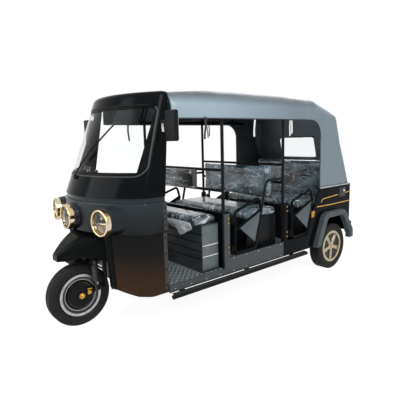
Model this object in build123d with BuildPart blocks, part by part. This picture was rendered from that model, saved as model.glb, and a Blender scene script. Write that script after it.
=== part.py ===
"""Long-wheelbase passenger auto rickshaw with a raked cab front, three lamps, open sides and a cloth canopy.

Frame: +X forward, +Y to the left, +Z up, millimetres, the ground at zero and the middle of the length at zero.
"""
import math
import os

from build123d import *

os.makedirs("parts", exist_ok=True)

# Wheels
TYRE_R = 248
WHEELBASE = 2624
FRONT_TYRE_W = 104
REAR_TYRE_W = 136
BEAD_R = 158
RIM_FLANGE_R = 171
RUN_GAP = 0.2

# Lengths along the body, each measured back from the one before it, starting at the front axle
AXLE_TO_POST = 464
POST_TO_B = 585
B_TO_C = 773
C_TO_WAIST = 572
WAIST_TO_TAIL = 590
BUMPER_REACH = 132
NOSE_TO_POST = 445
BODY_BACK = AXLE_TO_POST + POST_TO_B + B_TO_C + C_TO_WAIST + WAIST_TO_TAIL
OVERALL_LENGTH = TYRE_R + BODY_BACK + BUMPER_REACH

FRONT_AXLE_X = OVERALL_LENGTH / 2 - TYRE_R
REAR_AXLE_X = FRONT_AXLE_X - WHEELBASE
CAB_POST_X = FRONT_AXLE_X - AXLE_TO_POST
NOSE_X = CAB_POST_X + NOSE_TO_POST
B_POST_X = CAB_POST_X - POST_TO_B
C_POST_X = B_POST_X - B_TO_C
WAIST_FRONT_X = C_POST_X - C_TO_WAIST
TAIL_X = WAIST_FRONT_X - WAIST_TO_TAIL
BUMPER_X = TAIL_X - BUMPER_REACH

# Widths
BODY_HALF = 610
REAR_WHEEL_Y = BODY_HALF - 47

# Heights
FLOOR_Z = 350
FLOOR_T = 6
SILL_Z = FLOOR_Z + 95
SKIRT_LOW_Z = FLOOR_Z - 42
WAIST_Z = 908
CREASE_Z = 1040
GROOVE_H = 36
BAND_LOW_Z = 780
LAMP_Z = 880
CAB_TOP_Z = 1800
HEM_Z = CAB_TOP_Z - 200
ROOF_Z = CAB_TOP_Z + 46
SHOULDER_Z = ROOF_Z - 146

# Wall thicknesses and tube sizes
CAB_T = 14
PANEL_T = 12
CANOPY_T = 8
POST_D = 28
DOOR_TUBE_D = 25
SEAM = 0.5

# Cab front
FRONT_ARC_R = BODY_HALF * 1.312
CAB_CORNER_R = 60
ROOF_EDGE_R = 52
CAB_LOW_HALF = BODY_HALF - 10
CAB_TOP_HALF = BODY_HALF - 80
CAB_RAKE_RUN = 0.405 * (CAB_TOP_Z - CREASE_Z)
CAB_TOP_NOSE_X = NOSE_X - CAB_RAKE_RUN
BAND_PROUD = 12
GLASS_T = 5


def front_sag(half_width):
    """How far the round front falls back at the given half width."""
    return FRONT_ARC_R - math.sqrt(FRONT_ARC_R**2 - half_width**2)


CAB_TOP_POST_X = CAB_TOP_NOSE_X - front_sag(CAB_TOP_HALF) - 42


def cab_section(z, nose_x, half_width, post_x, inset):
    """Plan outline of the cab: straight sides, a round front and rounded corners."""
    side = half_width - inset
    front = FRONT_ARC_R - inset
    centre = nose_x - FRONT_ARC_R
    corner_x = centre + math.sqrt(front**2 - side**2)
    with BuildSketch(Plane.XY.offset(z)) as section:
        with BuildLine():
            Line((post_x, -side), (corner_x, -side))
            ThreePointArc((corner_x, -side), (centre + front, 0), (corner_x, side))
            Line((corner_x, side), (post_x, side))
            Line((post_x, side), (post_x, -side))
        make_face()
        fillet(section.vertices().group_by(Axis.X)[-1], CAB_CORNER_R - inset / 2)
    return section.sketch


def upper_cab_sections(low_z, high_z, inset, behind):
    """Two outlines of the raked upper cab at the given heights."""
    sections = []
    for z in (low_z, high_z):
        share = (z - CREASE_Z) / (CAB_TOP_Z - CREASE_Z)
        nose_x = NOSE_X + share * (CAB_TOP_NOSE_X - NOSE_X)
        half_width = CAB_LOW_HALF + share * (CAB_TOP_HALF - CAB_LOW_HALF)
        post_x = CAB_POST_X + share * (CAB_TOP_POST_X - CAB_POST_X)
        sections.append(cab_section(z, nose_x, half_width, post_x - behind, inset))
    return sections


def upper_cab(low_z, high_z, inset, behind, edge):
    """Filled upper cab with a rounded roof edge."""
    with BuildPart() as block:
        loft(sections=upper_cab_sections(low_z, high_z, inset, behind), ruled=True)
        fillet(block.faces().sort_by(Axis.Z)[-1].edges().sort_by(Axis.X)[1:], edge)
    return block.part


def rod(start, end, diameter):
    """Straight round bar between two points."""
    axis = Vector(*end) - Vector(*start)
    with BuildPart() as bar:
        with BuildSketch(Plane(origin=start, z_dir=axis)):
            Circle(diameter / 2)
        extrude(amount=axis.length)
    return bar.part


def bent_tube(points, diameter, bend):
    """Round bar along a path of straight runs joined by bends."""
    with BuildPart() as bar:
        with BuildLine() as path:
            FilletPolyline(*points, radius=bend)
        with BuildSketch(Plane(origin=path.line @ 0, z_dir=path.line % 0)):
            Circle(diameter / 2)
        sweep()
    return bar.part


def cushion(x_back, x_front, half_width, z_low, z_high, edge):
    """Upholstered block with all its edges rounded."""
    with BuildPart() as block:
        with Locations(((x_back + x_front) / 2, 0, (z_low + z_high) / 2)):
            Box(x_front - x_back, 2 * half_width, z_high - z_low)
        fillet(block.edges(), edge)
    return block.part


# Windscreen opening
SCREEN_LOW_Z = CREASE_Z + 148
SCREEN_TOP_Z = CAB_TOP_Z - 96
SCREEN_EDGE = 14
CAB_LEAN = (CAB_LOW_HALF - CAB_TOP_HALF) / (CAB_TOP_Z - CREASE_Z)
SCREEN_LOW_HALF = CAB_LOW_HALF - CAB_LEAN * (SCREEN_LOW_Z - CREASE_Z) - SCREEN_EDGE
SCREEN_TOP_HALF = CAB_LOW_HALF - CAB_LEAN * (SCREEN_TOP_Z - CREASE_Z) - SCREEN_EDGE
SCREEN_CORNER_R = 70
SCREEN_FROM_X = CAB_TOP_POST_X + 30
SCREEN_DEPTH = NOSE_X - CAB_TOP_POST_X


def screen_opening(inset):
    """Face of the windscreen opening, seen from the front."""
    with BuildSketch(Plane.YZ.offset(SCREEN_FROM_X)) as opening:
        with BuildLine():
            Polyline(
                (-SCREEN_LOW_HALF + inset, SCREEN_LOW_Z + inset),
                (SCREEN_LOW_HALF - inset, SCREEN_LOW_Z + inset),
                (SCREEN_TOP_HALF - inset, SCREEN_TOP_Z - inset),
                (-SCREEN_TOP_HALF + inset, SCREEN_TOP_Z - inset),
                close=True,
            )
        make_face()
        fillet(opening.vertices(), SCREEN_CORNER_R - inset)
    return opening.sketch


# Cab front: pillars, windscreen surround and roof visor in one moulding
with BuildPart() as cab_front:
    add(upper_cab(CREASE_Z, CAB_TOP_Z, 0, 0, ROOF_EDGE_R))
    add(upper_cab(CREASE_Z - 2, CAB_TOP_Z - CAB_T, CAB_T, 60, ROOF_EDGE_R - CAB_T), mode=Mode.SUBTRACT)
    extrude(screen_opening(0), amount=SCREEN_DEPTH, mode=Mode.SUBTRACT)

# Windscreen glass, set in the middle of the wall
GLASS_SET_IN = (CAB_T - GLASS_T) / 2
with BuildPart() as windscreen:
    loft(sections=upper_cab_sections(CREASE_Z, CAB_TOP_Z, GLASS_SET_IN, 0), ruled=True)
    loft(
        sections=upper_cab_sections(CREASE_Z - 2, CAB_TOP_Z + 2, GLASS_SET_IN + GLASS_T, 60),
        ruled=True,
        mode=Mode.SUBTRACT,
    )
    extrude(screen_opening(SEAM), amount=SCREEN_DEPTH, mode=Mode.INTERSECT)

# Front cowl: the proud band under the windscreen with three lamp pods and a groove along its top
LAMP_R = 96
POD_R = LAMP_R + 5
POD_FLARE = 26
POD_LENGTH = 210
LAMP_DEPTH = 30
BEZEL_DEPTH = 42
BEZEL_W = 14
LENS_SET_BACK = 16
SIDE_LAMP_Y = BODY_HALF - 186
SIDE_LAMP_X = NOSE_X + 6
NOSE_LAMP_X = NOSE_X + 84
LAMP_SPLAY = 10
LAMP_PLACES = [
    # lamp front, side, turned outward
    (NOSE_LAMP_X, 0, 0),
    (SIDE_LAMP_X, SIDE_LAMP_Y, LAMP_SPLAY),
    (SIDE_LAMP_X, -SIDE_LAMP_Y, -LAMP_SPLAY),
]
BAND_HALF = CAB_LOW_HALF + BAND_PROUD
BAND_NOSE_X = NOSE_X + BAND_PROUD
BAND_TOP_Z = CREASE_Z - GROOVE_H
GROOVE_IN = BAND_PROUD + 8


def lamp_axis(turn):
    """Direction that a lamp looks in."""
    return Vector(math.cos(math.radians(turn)), math.sin(math.radians(turn)), 0)


def lamp_plane(place, back, facing=1):
    """Plane square to a lamp's axis, set back from its front ring and facing ahead or behind."""
    front_x, side_y, turn = place
    way = lamp_axis(turn)
    spot = Vector(front_x, side_y, LAMP_Z) - way * back
    return Plane(origin=spot, x_dir=(0, 0, 1), z_dir=way * facing)


def lamp_pod(place, grow):
    """Flared housing behind a lamp."""
    with BuildPart() as pod:
        with Locations(lamp_plane(place, BEZEL_DEPTH, -1).location):
            Cone(
                POD_R + grow,
                POD_R + POD_FLARE + grow,
                POD_LENGTH + grow,
                align=(Align.CENTER, Align.CENTER, Align.MIN),
            )
    return pod.part


with BuildPart() as front_cowl:
    extrude(
        cab_section(BAND_LOW_Z + SEAM, BAND_NOSE_X, BAND_HALF, CAB_POST_X, 0),
        amount=BAND_TOP_Z - BAND_LOW_Z - SEAM,
    )
    fillet(front_cowl.faces().sort_by(Axis.Z)[-1].edges().sort_by(Axis.X)[1:], 10)
    extrude(
        cab_section(BAND_TOP_Z, BAND_NOSE_X, BAND_HALF, CAB_POST_X, GROOVE_IN),
        amount=GROOVE_H - SEAM,
    )
    for place in LAMP_PLACES:
        add(lamp_pod(place, 0))
    extrude(
        cab_section(BAND_LOW_Z - 2 * POD_R, BAND_NOSE_X, BAND_HALF, CAB_POST_X - 40, CAB_T + GROOVE_IN),
        amount=CREASE_Z - BAND_LOW_Z + 4 * POD_R,
        mode=Mode.SUBTRACT,
    )
    for place in LAMP_PLACES:
        with BuildSketch(lamp_plane(place, BEZEL_DEPTH, -1)):
            Circle(LAMP_R - BEZEL_W)
        extrude(amount=LAMP_DEPTH, mode=Mode.SUBTRACT)
        with BuildSketch(lamp_plane(place, BEZEL_DEPTH)):
            Circle(LAMP_R + SEAM)
        extrude(amount=2 * BEZEL_DEPTH, mode=Mode.SUBTRACT)

# Headlamp bezels and lenses
BEZEL_EDGE_R = 5
with BuildPart() as headlamp_bezels:
    for place in LAMP_PLACES:
        with BuildSketch(lamp_plane(place, BEZEL_DEPTH)):
            Circle(LAMP_R)
            Circle(LAMP_R - BEZEL_W, mode=Mode.SUBTRACT)
        extrude(amount=BEZEL_DEPTH)
        looks = Axis(origin=(0, 0, 0), direction=lamp_axis(place[2]))
        rings = headlamp_bezels.edges(Select.LAST).filter_by(GeomType.CIRCLE).sort_by(looks)
        fillet(rings[-2:], BEZEL_EDGE_R)

with BuildPart() as headlamp_lenses:
    for place in LAMP_PLACES:
        with BuildSketch(lamp_plane(place, BEZEL_DEPTH + LAMP_DEPTH - SEAM)):
            Circle(LAMP_R - BEZEL_W - SEAM)
        extrude(amount=LAMP_DEPTH + BEZEL_DEPTH - SEAM - LENS_SET_BACK)

# Leg shields: the lower cab sides either side of the front wheel
SHIELD_LOW_NOSE_X = NOSE_X - 30
SHIELD_FRONT_Y = BODY_HALF - 275
SHIELD_RISE = 58
SHIELD_RISE_FROM_Y = BODY_HALF - 85
with BuildPart() as leg_shields:
    loft(
        sections=[
            cab_section(SKIRT_LOW_Z, SHIELD_LOW_NOSE_X, CAB_LOW_HALF, CAB_POST_X, 0),
            cab_section(BAND_LOW_Z, NOSE_X, CAB_LOW_HALF, CAB_POST_X, 0),
        ],
        ruled=True,
    )
    loft(
        sections=[
            cab_section(SKIRT_LOW_Z - 2, SHIELD_LOW_NOSE_X, CAB_LOW_HALF, CAB_POST_X - 40, CAB_T),
            cab_section(BAND_LOW_Z + 2, NOSE_X, CAB_LOW_HALF, CAB_POST_X - 40, CAB_T),
        ],
        ruled=True,
        mode=Mode.SUBTRACT,
    )
    with Locations((NOSE_X, 0, (SKIRT_LOW_Z + BAND_LOW_Z) / 2)):
        Box(800, 2 * SHIELD_FRONT_Y, BAND_LOW_Z, mode=Mode.SUBTRACT)
    for side in (-1, 1):
        with BuildSketch(Plane.YZ.offset(CAB_POST_X)):
            with BuildLine():
                Polyline(
                    (side * SHIELD_RISE_FROM_Y, SKIRT_LOW_Z),
                    (side * SHIELD_FRONT_Y, SKIRT_LOW_Z + SHIELD_RISE),
                    (side * SHIELD_FRONT_Y, SKIRT_LOW_Z - SHIELD_RISE),
                    (side * SHIELD_RISE_FROM_Y, SKIRT_LOW_Z - SHIELD_RISE),
                    close=True,
                )
            make_face()
        extrude(amount=NOSE_TO_POST, mode=Mode.SUBTRACT)
    for place in LAMP_PLACES:
        add(lamp_pod(place, SEAM), mode=Mode.SUBTRACT)

# Steering axis: raked back and running through a point just ahead of the front axle
RAKE = 20
STEER_LEAD = 10
STEER_STEM_D = 34
HEAD_OUTER_D = 62
HEAD_FROM = 400
HEAD_TO = 590
BAR_AT = 850
AXLE_POINT = (FRONT_AXLE_X + STEER_LEAD, 0, TYRE_R)
STEER_AXIS = (-math.sin(math.radians(RAKE)), 0, math.cos(math.radians(RAKE)))
STEER_AHEAD = (math.cos(math.radians(RAKE)), 0, math.sin(math.radians(RAKE)))
STEER_PLANE = Plane(origin=AXLE_POINT, x_dir=STEER_AHEAD, z_dir=STEER_AXIS)


def on_steer(forward, left, along):
    """Point given in the turned steering frame."""
    return tuple(STEER_PLANE.from_local_coords(Vector(forward, left, along)))


# Floor pan with the toe board behind the front wheel
TOE_LOW_X = FRONT_AXLE_X - 325
TOE_TOP_X = FRONT_AXLE_X - 262
TOE_T = 6
TOE_HALF = SHIELD_FRONT_Y - SEAM
FLAP_DROP = 82
FLAP_HALF = 250
TOE_TOP_Z = BAND_LOW_Z - 16
NECK_W = 60
NECK_GAP = 2
RAIL_FRONT_X = FRONT_AXLE_X - 380
NECK_REAR_X = RAIL_FRONT_X - 40
SHIELD_SAG = front_sag(SHIELD_FRONT_Y)
FLOOR_NOSE_X = SHIELD_LOW_NOSE_X + 30 * (FLOOR_Z - SKIRT_LOW_Z) / (BAND_LOW_Z - SKIRT_LOW_Z)
FLOOR_HALF = BODY_HALF - PANEL_T - SEAM
ARCH_INNER_Y = REAR_WHEEL_Y - REAR_TYRE_W / 2 - 40
ARCH_FRONT_X = REAR_AXLE_X + 300
ARCH_REAR_X = REAR_AXLE_X - 300

with BuildPart() as floor_pan:
    extrude(
        cab_section(FLOOR_Z - FLOOR_T, FLOOR_NOSE_X, CAB_LOW_HALF, CAB_POST_X - 20, CAB_T + SEAM),
        amount=FLOOR_T,
    )
    with BuildSketch(Plane.XY.offset(FLOOR_Z - FLOOR_T)):
        with BuildLine():
            Polyline(
                (TAIL_X + PANEL_T + SEAM, -ARCH_INNER_Y),
                (ARCH_FRONT_X, -ARCH_INNER_Y),
                (ARCH_FRONT_X, -FLOOR_HALF),
                (CAB_POST_X - SEAM, -FLOOR_HALF),
                (CAB_POST_X - SEAM, FLOOR_HALF),
                (ARCH_FRONT_X, FLOOR_HALF),
                (ARCH_FRONT_X, ARCH_INNER_Y),
                (TAIL_X + PANEL_T + SEAM, ARCH_INNER_Y),
                close=True,
            )
        make_face()
    extrude(amount=FLOOR_T)
    with Locations((TOE_LOW_X + 500, 0, FLOOR_Z)):
        Box(1000, 2 * (TOE_HALF - TOE_T), 100, mode=Mode.SUBTRACT)
    with BuildSketch(Plane.XZ):
        with BuildLine():
            Polyline(
                (TOE_LOW_X, FLOOR_Z - FLOOR_T),
                (TOE_LOW_X - TOE_T, FLOOR_Z - FLOOR_T),
                (TOE_TOP_X - TOE_T, TOE_TOP_Z),
                (TOE_TOP_X, TOE_TOP_Z),
                close=True,
            )
        make_face()
    extrude(amount=TOE_HALF, both=True)
    with Locations((TOE_LOW_X - TOE_T / 2, 0, FLOOR_Z - FLOOR_T - FLAP_DROP / 2)):
        Box(TOE_T, 2 * FLAP_HALF, FLAP_DROP)
    for side in (-1, 1):
        with BuildSketch(Plane.XZ.offset(-side * (TOE_HALF - TOE_T / 2))):
            with BuildLine():
                Polyline(
                    (TOE_LOW_X - TOE_T, FLOOR_Z - FLOOR_T),
                    (TOE_TOP_X - TOE_T, TOE_TOP_Z),
                    (NOSE_X - SHIELD_SAG - 4, TOE_TOP_Z),
                    (SHIELD_LOW_NOSE_X - SHIELD_SAG - 4, FLOOR_Z - FLOOR_T),
                    close=True,
                )
            make_face()
        extrude(amount=TOE_T / 2, both=True)
    with Locations(((NECK_REAR_X - NECK_GAP + NOSE_X) / 2, 0, (FLOOR_Z - 50 + BAND_LOW_Z) / 2)):
        Box(NOSE_X - NECK_REAR_X + NECK_GAP, NECK_W + 2 * NECK_GAP, BAND_LOW_Z - FLOOR_Z + 50, mode=Mode.SUBTRACT)

# Front mudguard: a pointed hood over the wheel, fixed under the nose
GUARD_T = 6
GUARD_ARCH_R = TYRE_R + 76
GUARD_SECTIONS = [
    # station ahead of the axle, half width, low edge, top, corner radius
    (-300, SHIELD_FRONT_Y - 22, 430, BAND_LOW_Z - 36, 80),
    (-15, 165, 540, BAND_LOW_Z - 46, 70),
    (164, 46, 554, 604, 20),
]


def guard_sections(inset, drop, back):
    """Arched cross-sections of the mudguard."""
    sections = []
    for station, half_width, low_z, top_z, corner in GUARD_SECTIONS:
        shift = -2 * inset if station > 0 else back
        with BuildSketch(Plane.YZ.offset(FRONT_AXLE_X + station + shift)) as section:
            with BuildLine():
                FilletPolyline(
                    (-half_width + inset, low_z - drop),
                    (-half_width + inset, top_z - inset),
                    (half_width - inset, top_z - inset),
                    (half_width - inset, low_z - drop),
                    radius=corner - inset / 2,
                )
                Line((half_width - inset, low_z - drop), (-half_width + inset, low_z - drop))
            make_face()
        sections.append(section.sketch)
    return sections


with BuildPart() as front_mudguard:
    loft(sections=guard_sections(0, 0, 0))
    loft(sections=guard_sections(GUARD_T, 60, 0), mode=Mode.SUBTRACT)
    with BuildSketch(STEER_PLANE):
        Circle(HEAD_OUTER_D / 2 + 8)
    extrude(amount=900, mode=Mode.SUBTRACT)
    with BuildSketch(Plane.XZ):
        with Locations((FRONT_AXLE_X, TYRE_R)):
            Circle(GUARD_ARCH_R)
    extrude(amount=SHIELD_FRONT_Y, both=True, mode=Mode.SUBTRACT)
    with Locations((FRONT_AXLE_X - 300, 0, BAND_LOW_Z - 80)):
        Box(2 * (300 - 140), NECK_W + 2 * NECK_GAP, 240, mode=Mode.SUBTRACT)
    with BuildSketch(Plane.XZ):
        with BuildLine():
            Polyline(
                (TOE_LOW_X, FLOOR_Z - FLOOR_T),
                (TOE_TOP_X, TOE_TOP_Z),
                (TOE_TOP_X, TOE_TOP_Z + 200),
                (TOE_LOW_X - 300, TOE_TOP_Z + 200),
                (TOE_LOW_X - 300, FLOOR_Z - FLOOR_T),
                close=True,
            )
        make_face()
    extrude(amount=SHIELD_FRONT_Y, both=True, mode=Mode.SUBTRACT)

# Chassis: two long rails, cross members, the neck and the steering head
RAIL_Y = BODY_HALF - 280
RAIL_W = 50
RAIL_H = 44
RAIL_TOP_Z = FLOOR_Z - FLOOR_T
RAIL_REAR_X = TAIL_X + 40
CROSS_STATIONS = [RAIL_FRONT_X - 40, B_POST_X, C_POST_X, ARCH_FRONT_X + 20, RAIL_REAR_X + 40]
TOW_PLATE_T = 12
TOW_HOLE_R = 12
TOW_PLATE_Z = RAIL_TOP_Z - 20

with BuildPart() as chassis_frame:
    for side in (-1, 1):
        with Locations(((RAIL_FRONT_X + RAIL_REAR_X) / 2, side * RAIL_Y, RAIL_TOP_Z - RAIL_H / 2)):
            Box(RAIL_FRONT_X - RAIL_REAR_X, RAIL_W, RAIL_H)
    for station in CROSS_STATIONS:
        with Locations((station, 0, RAIL_TOP_Z - RAIL_H / 2)):
            Box(50, 2 * RAIL_Y, RAIL_H)
    for station in (B_POST_X, C_POST_X):
        with Locations((station, 0, RAIL_TOP_Z - RAIL_H / 2)):
            Box(40, 2 * (BODY_HALF - PANEL_T - SEAM), RAIL_H)
    with BuildSketch(Plane.XZ):
        with BuildLine():
            Polyline(
                (NECK_REAR_X, RAIL_TOP_Z - RAIL_H),
                (TOE_LOW_X - TOE_T - 2, RAIL_TOP_Z - RAIL_H),
                (TOE_LOW_X - TOE_T - 2, FLOOR_Z),
                (TOE_TOP_X - TOE_T - 8, BAND_LOW_Z - 170),
                on_steer(0, 0, HEAD_FROM + 5)[::2],
                on_steer(0, 0, HEAD_TO - 5)[::2],
                (TOE_TOP_X - 80, BAND_LOW_Z - 10),
                (NECK_REAR_X, FLOOR_Z + 10),
                close=True,
            )
        make_face()
    extrude(amount=NECK_W / 2, both=True)
    with Locations(STEER_PLANE.offset(HEAD_FROM).location):
        Cylinder(HEAD_OUTER_D / 2, HEAD_TO - HEAD_FROM, align=(Align.CENTER, Align.CENTER, Align.MIN))
    with Locations(STEER_PLANE.offset(HEAD_FROM - 40).location):
        Cylinder(
            STEER_STEM_D / 2 + RUN_GAP,
            HEAD_TO - HEAD_FROM + 80,
            align=(Align.CENTER, Align.CENTER, Align.MIN),
            mode=Mode.SUBTRACT,
        )
    with BuildSketch(Plane.XY.offset(TOW_PLATE_Z)):
        with Locations(((RAIL_REAR_X + 40 + BUMPER_X + 40) / 2, 0)):
            Rectangle(RAIL_REAR_X - BUMPER_X, 70)
        with Locations((BUMPER_X + 75, 0)):
            Circle(TOW_HOLE_R, mode=Mode.SUBTRACT)
    extrude(amount=TOW_PLATE_T)

# Dashboard shelf under the windscreen with an instrument pod
DASH_Z = CREASE_Z + 92
DASH_T = 26
DASH_BACK_X = FRONT_AXLE_X - 215
with BuildPart() as dashboard:
    loft(sections=upper_cab_sections(DASH_Z, DASH_Z + DASH_T, CAB_T + SEAM, 0), ruled=True)
    with Locations((DASH_BACK_X - AXLE_TO_POST / 2, 0, DASH_Z)):
        Box(AXLE_TO_POST, 2 * BODY_HALF, 4 * DASH_T, mode=Mode.SUBTRACT)
    with Locations((DASH_BACK_X + 40, 0, DASH_Z + DASH_T + 28)):
        Box(50, 150, 76)

# Driver seat box with ribbed faces
SEAT_FRONT_X = CAB_POST_X - 375
SEAT_BACK_X = B_POST_X + 30
DRIVER_BOX_HALF = BODY_HALF - 62
DRIVER_BOX_TOP_Z = 750
RIB_COUNT = 4
RIB_GROOVE = 10
with BuildPart() as driver_seat_box:
    with Locations(((SEAT_FRONT_X + SEAT_BACK_X) / 2, 0, (FLOOR_Z + DRIVER_BOX_TOP_Z) / 2)):
        Box(SEAT_FRONT_X - SEAT_BACK_X, 2 * DRIVER_BOX_HALF, DRIVER_BOX_TOP_Z - FLOOR_Z)
    for rib in range(RIB_COUNT):
        groove_z = FLOOR_Z + 110 + rib * 70
        with Locations(((SEAT_FRONT_X + SEAT_BACK_X) / 2, 0, groove_z)):
            Box(
                SEAT_FRONT_X - SEAT_BACK_X + 4,
                2 * DRIVER_BOX_HALF + 4,
                RIB_GROOVE,
                mode=Mode.SUBTRACT,
            )
            Box(
                SEAT_FRONT_X - SEAT_BACK_X - 2 * RIB_GROOVE,
                2 * DRIVER_BOX_HALF - 2 * RIB_GROOVE,
                RIB_GROOVE,
            )

# Seat cushions and backrests
CUSHION_T = 66
DRIVER_CUSHION_FRONT_X = SEAT_FRONT_X + 70
with BuildPart() as driver_cushion:
    add(
        cushion(
            SEAT_BACK_X,
            DRIVER_CUSHION_FRONT_X,
            DRIVER_BOX_HALF + 4,
            DRIVER_BOX_TOP_Z,
            DRIVER_BOX_TOP_Z + CUSHION_T,
            24,
        )
    )

BACK_RAIL_ZS = [1015, 1185]
BACK_RAIL_D = 25
DRIVER_BACK_HALF = BODY_HALF - 310
DRIVER_BACK_T = 60
with BuildPart() as driver_backrest:
    with BuildSketch(Plane.XZ):
        with Locations((B_POST_X + BACK_RAIL_D / 2 + DRIVER_BACK_T / 2, (BACK_RAIL_ZS[0] + BACK_RAIL_ZS[1]) / 2)):
            RectangleRounded(DRIVER_BACK_T, BACK_RAIL_ZS[1] - BACK_RAIL_ZS[0] + 40, 22)
    extrude(amount=DRIVER_BACK_HALF, both=True)
    fillet(driver_backrest.edges().group_by(Axis.Y)[0] + driver_backrest.edges().group_by(Axis.Y)[-1], 18)

MIDDLE_FRONT_X = B_POST_X - 345
MIDDLE_BACK_X = C_POST_X + 30
SEAT_BASE_TOP_Z = 712
BENCH_HALF = BODY_HALF - 60
BASE_HALF = BODY_HALF - 90
SHELL_T = 10
with BuildPart() as middle_seat_base:
    with Locations(((MIDDLE_FRONT_X + MIDDLE_BACK_X) / 2, 0, (FLOOR_Z + SEAT_BASE_TOP_Z) / 2)):
        Box(MIDDLE_FRONT_X - MIDDLE_BACK_X, 2 * BASE_HALF, SEAT_BASE_TOP_Z - FLOOR_Z)
    with Locations(((MIDDLE_FRONT_X + MIDDLE_BACK_X) / 2, 0, (FLOOR_Z + SEAT_BASE_TOP_Z) / 2 - SHELL_T)):
        Box(
            MIDDLE_FRONT_X - MIDDLE_BACK_X - 2 * SHELL_T,
            2 * BASE_HALF - 2 * SHELL_T,
            SEAT_BASE_TOP_Z - FLOOR_Z,
            mode=Mode.SUBTRACT,
        )

with BuildPart() as middle_cushion:
    add(
        cushion(
            MIDDLE_BACK_X - 10,
            MIDDLE_FRONT_X + 40,
            BENCH_HALF,
            SEAT_BASE_TOP_Z,
            SEAT_BASE_TOP_Z + CUSHION_T + 8,
            26,
        )
    )

BACKREST_T = 64
BACKREST_LOW_Z = 850
BACKREST_TOP_Z = 1190
BACKREST_HALF = BODY_HALF - 115
with BuildPart() as middle_backrest:
    with BuildSketch(Plane.XZ):
        with Locations((C_POST_X + BACK_RAIL_D / 2 + BACKREST_T / 2, (BACKREST_LOW_Z + BACKREST_TOP_Z) / 2)):
            RectangleRounded(BACKREST_T, BACKREST_TOP_Z - BACKREST_LOW_Z, 24)
    extrude(amount=BACKREST_HALF, both=True)
    fillet(middle_backrest.edges().group_by(Axis.Y)[0] + middle_backrest.edges().group_by(Axis.Y)[-1], 20)

# Traction battery block inside the middle seat base
with BuildPart() as traction_battery:
    with Locations(((MIDDLE_FRONT_X + MIDDLE_BACK_X) / 2, 0, FLOOR_Z + 130)):
        Box(MIDDLE_FRONT_X - MIDDLE_BACK_X - 100, 2 * BASE_HALF - 240, 260)

# Rear bench on a base between the wheels, with the deck behind it
REAR_FRONT_X = WAIST_FRONT_X + 215
REAR_CUSHION_BACK_X = REAR_FRONT_X - 440
DECK_T = 14
DECK_Z = SEAT_BASE_TOP_Z - DECK_T
DECK_HALF = BODY_HALF - PANEL_T - SEAM
with BuildPart() as rear_seat_base:
    with Locations(((REAR_FRONT_X + REAR_CUSHION_BACK_X) / 2, 0, (FLOOR_Z + DECK_Z) / 2)):
        Box(REAR_FRONT_X - REAR_CUSHION_BACK_X, 2 * ARCH_INNER_Y - 20, DECK_Z - FLOOR_Z)
    with Locations(((REAR_FRONT_X + TAIL_X + PANEL_T + SEAM) / 2, 0, DECK_Z + DECK_T / 2)):
        Box(REAR_FRONT_X - TAIL_X - PANEL_T - SEAM, 2 * DECK_HALF - 60, DECK_T)

with BuildPart() as rear_cushion:
    add(
        cushion(
            REAR_CUSHION_BACK_X,
            REAR_FRONT_X + 40,
            BENCH_HALF,
            SEAT_BASE_TOP_Z,
            SEAT_BASE_TOP_Z + CUSHION_T + 8,
            26,
        )
    )

REAR_BACK_LEAN = 100
REAR_BACK_LOW_Z = SEAT_BASE_TOP_Z
with BuildPart() as rear_backrest:
    with BuildSketch(Plane.XZ):
        with BuildLine():
            Polyline(
                (REAR_CUSHION_BACK_X - 4, REAR_BACK_LOW_Z),
                (REAR_CUSHION_BACK_X - 4 - REAR_BACK_LEAN, BACKREST_TOP_Z + 5),
                (REAR_CUSHION_BACK_X - 4 - REAR_BACK_LEAN - 70, BACKREST_TOP_Z + 5),
                (REAR_CUSHION_BACK_X - 4 - 70, REAR_BACK_LOW_Z),
                close=True,
            )
        make_face()
    extrude(amount=BACKREST_HALF, both=True)
    fillet(rear_backrest.edges(), 22)

# Side skirts between the B and C posts, with the door pillars standing on them
PILLAR_W = 62
PILLAR_TOP_Z = 822
PILLAR_PROUD = 14
with BuildPart() as skirts:
    with BuildSketch(Plane.XZ.offset(-BODY_HALF)):
        with BuildLine():
            Polyline(
                (CAB_POST_X - SEAM, SKIRT_LOW_Z - 8),
                (CAB_POST_X - SEAM, FLOOR_Z + 8),
                (B_POST_X + PILLAR_PROUD, FLOOR_Z + 8),
                (B_POST_X + PILLAR_PROUD, PILLAR_TOP_Z),
                (B_POST_X - PILLAR_W + PILLAR_PROUD, PILLAR_TOP_Z),
                (B_POST_X - PILLAR_W + PILLAR_PROUD, SILL_Z),
                (C_POST_X + PILLAR_PROUD + SEAM, SILL_Z),
                (C_POST_X + PILLAR_PROUD + SEAM, SKIRT_LOW_Z - 8),
                close=True,
            )
        make_face()
    extrude(amount=PANEL_T)
    mirror(about=Plane.XZ)

# Partition behind the driver
PARTITION_X = B_POST_X
with BuildPart() as partition:
    with Locations((PARTITION_X, 0, (FLOOR_Z + PILLAR_TOP_Z) / 2)):
        Box(SHELL_T, 2 * (FLOOR_HALF - POST_D - 4), PILLAR_TOP_Z - FLOOR_Z)
    with Locations((PARTITION_X, 0, PILLAR_TOP_Z)):
        Box(28, 2 * (FLOOR_HALF - POST_D - 4), 24)

# Posts of the canopy frame at the B and C stations
POST_Y = BODY_HALF - PANEL_T - POST_D / 2 - SEAM
RAIL_Z = HEM_Z + 16
with BuildPart() as side_posts:
    for station in (B_POST_X, C_POST_X):
        for side in (-1, 1):
            add(rod((station, side * POST_Y, FLOOR_Z), (station, side * POST_Y, RAIL_Z - POST_D / 2), POST_D))

# Rails across the vehicle that carry the backrests
with BuildPart() as back_rails:
    for station in (B_POST_X, C_POST_X):
        for rail_z in BACK_RAIL_ZS:
            reach = POST_Y - POST_D / 2
            add(rod((station, -reach, rail_z), (station, reach, rail_z), BACK_RAIL_D))

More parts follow.
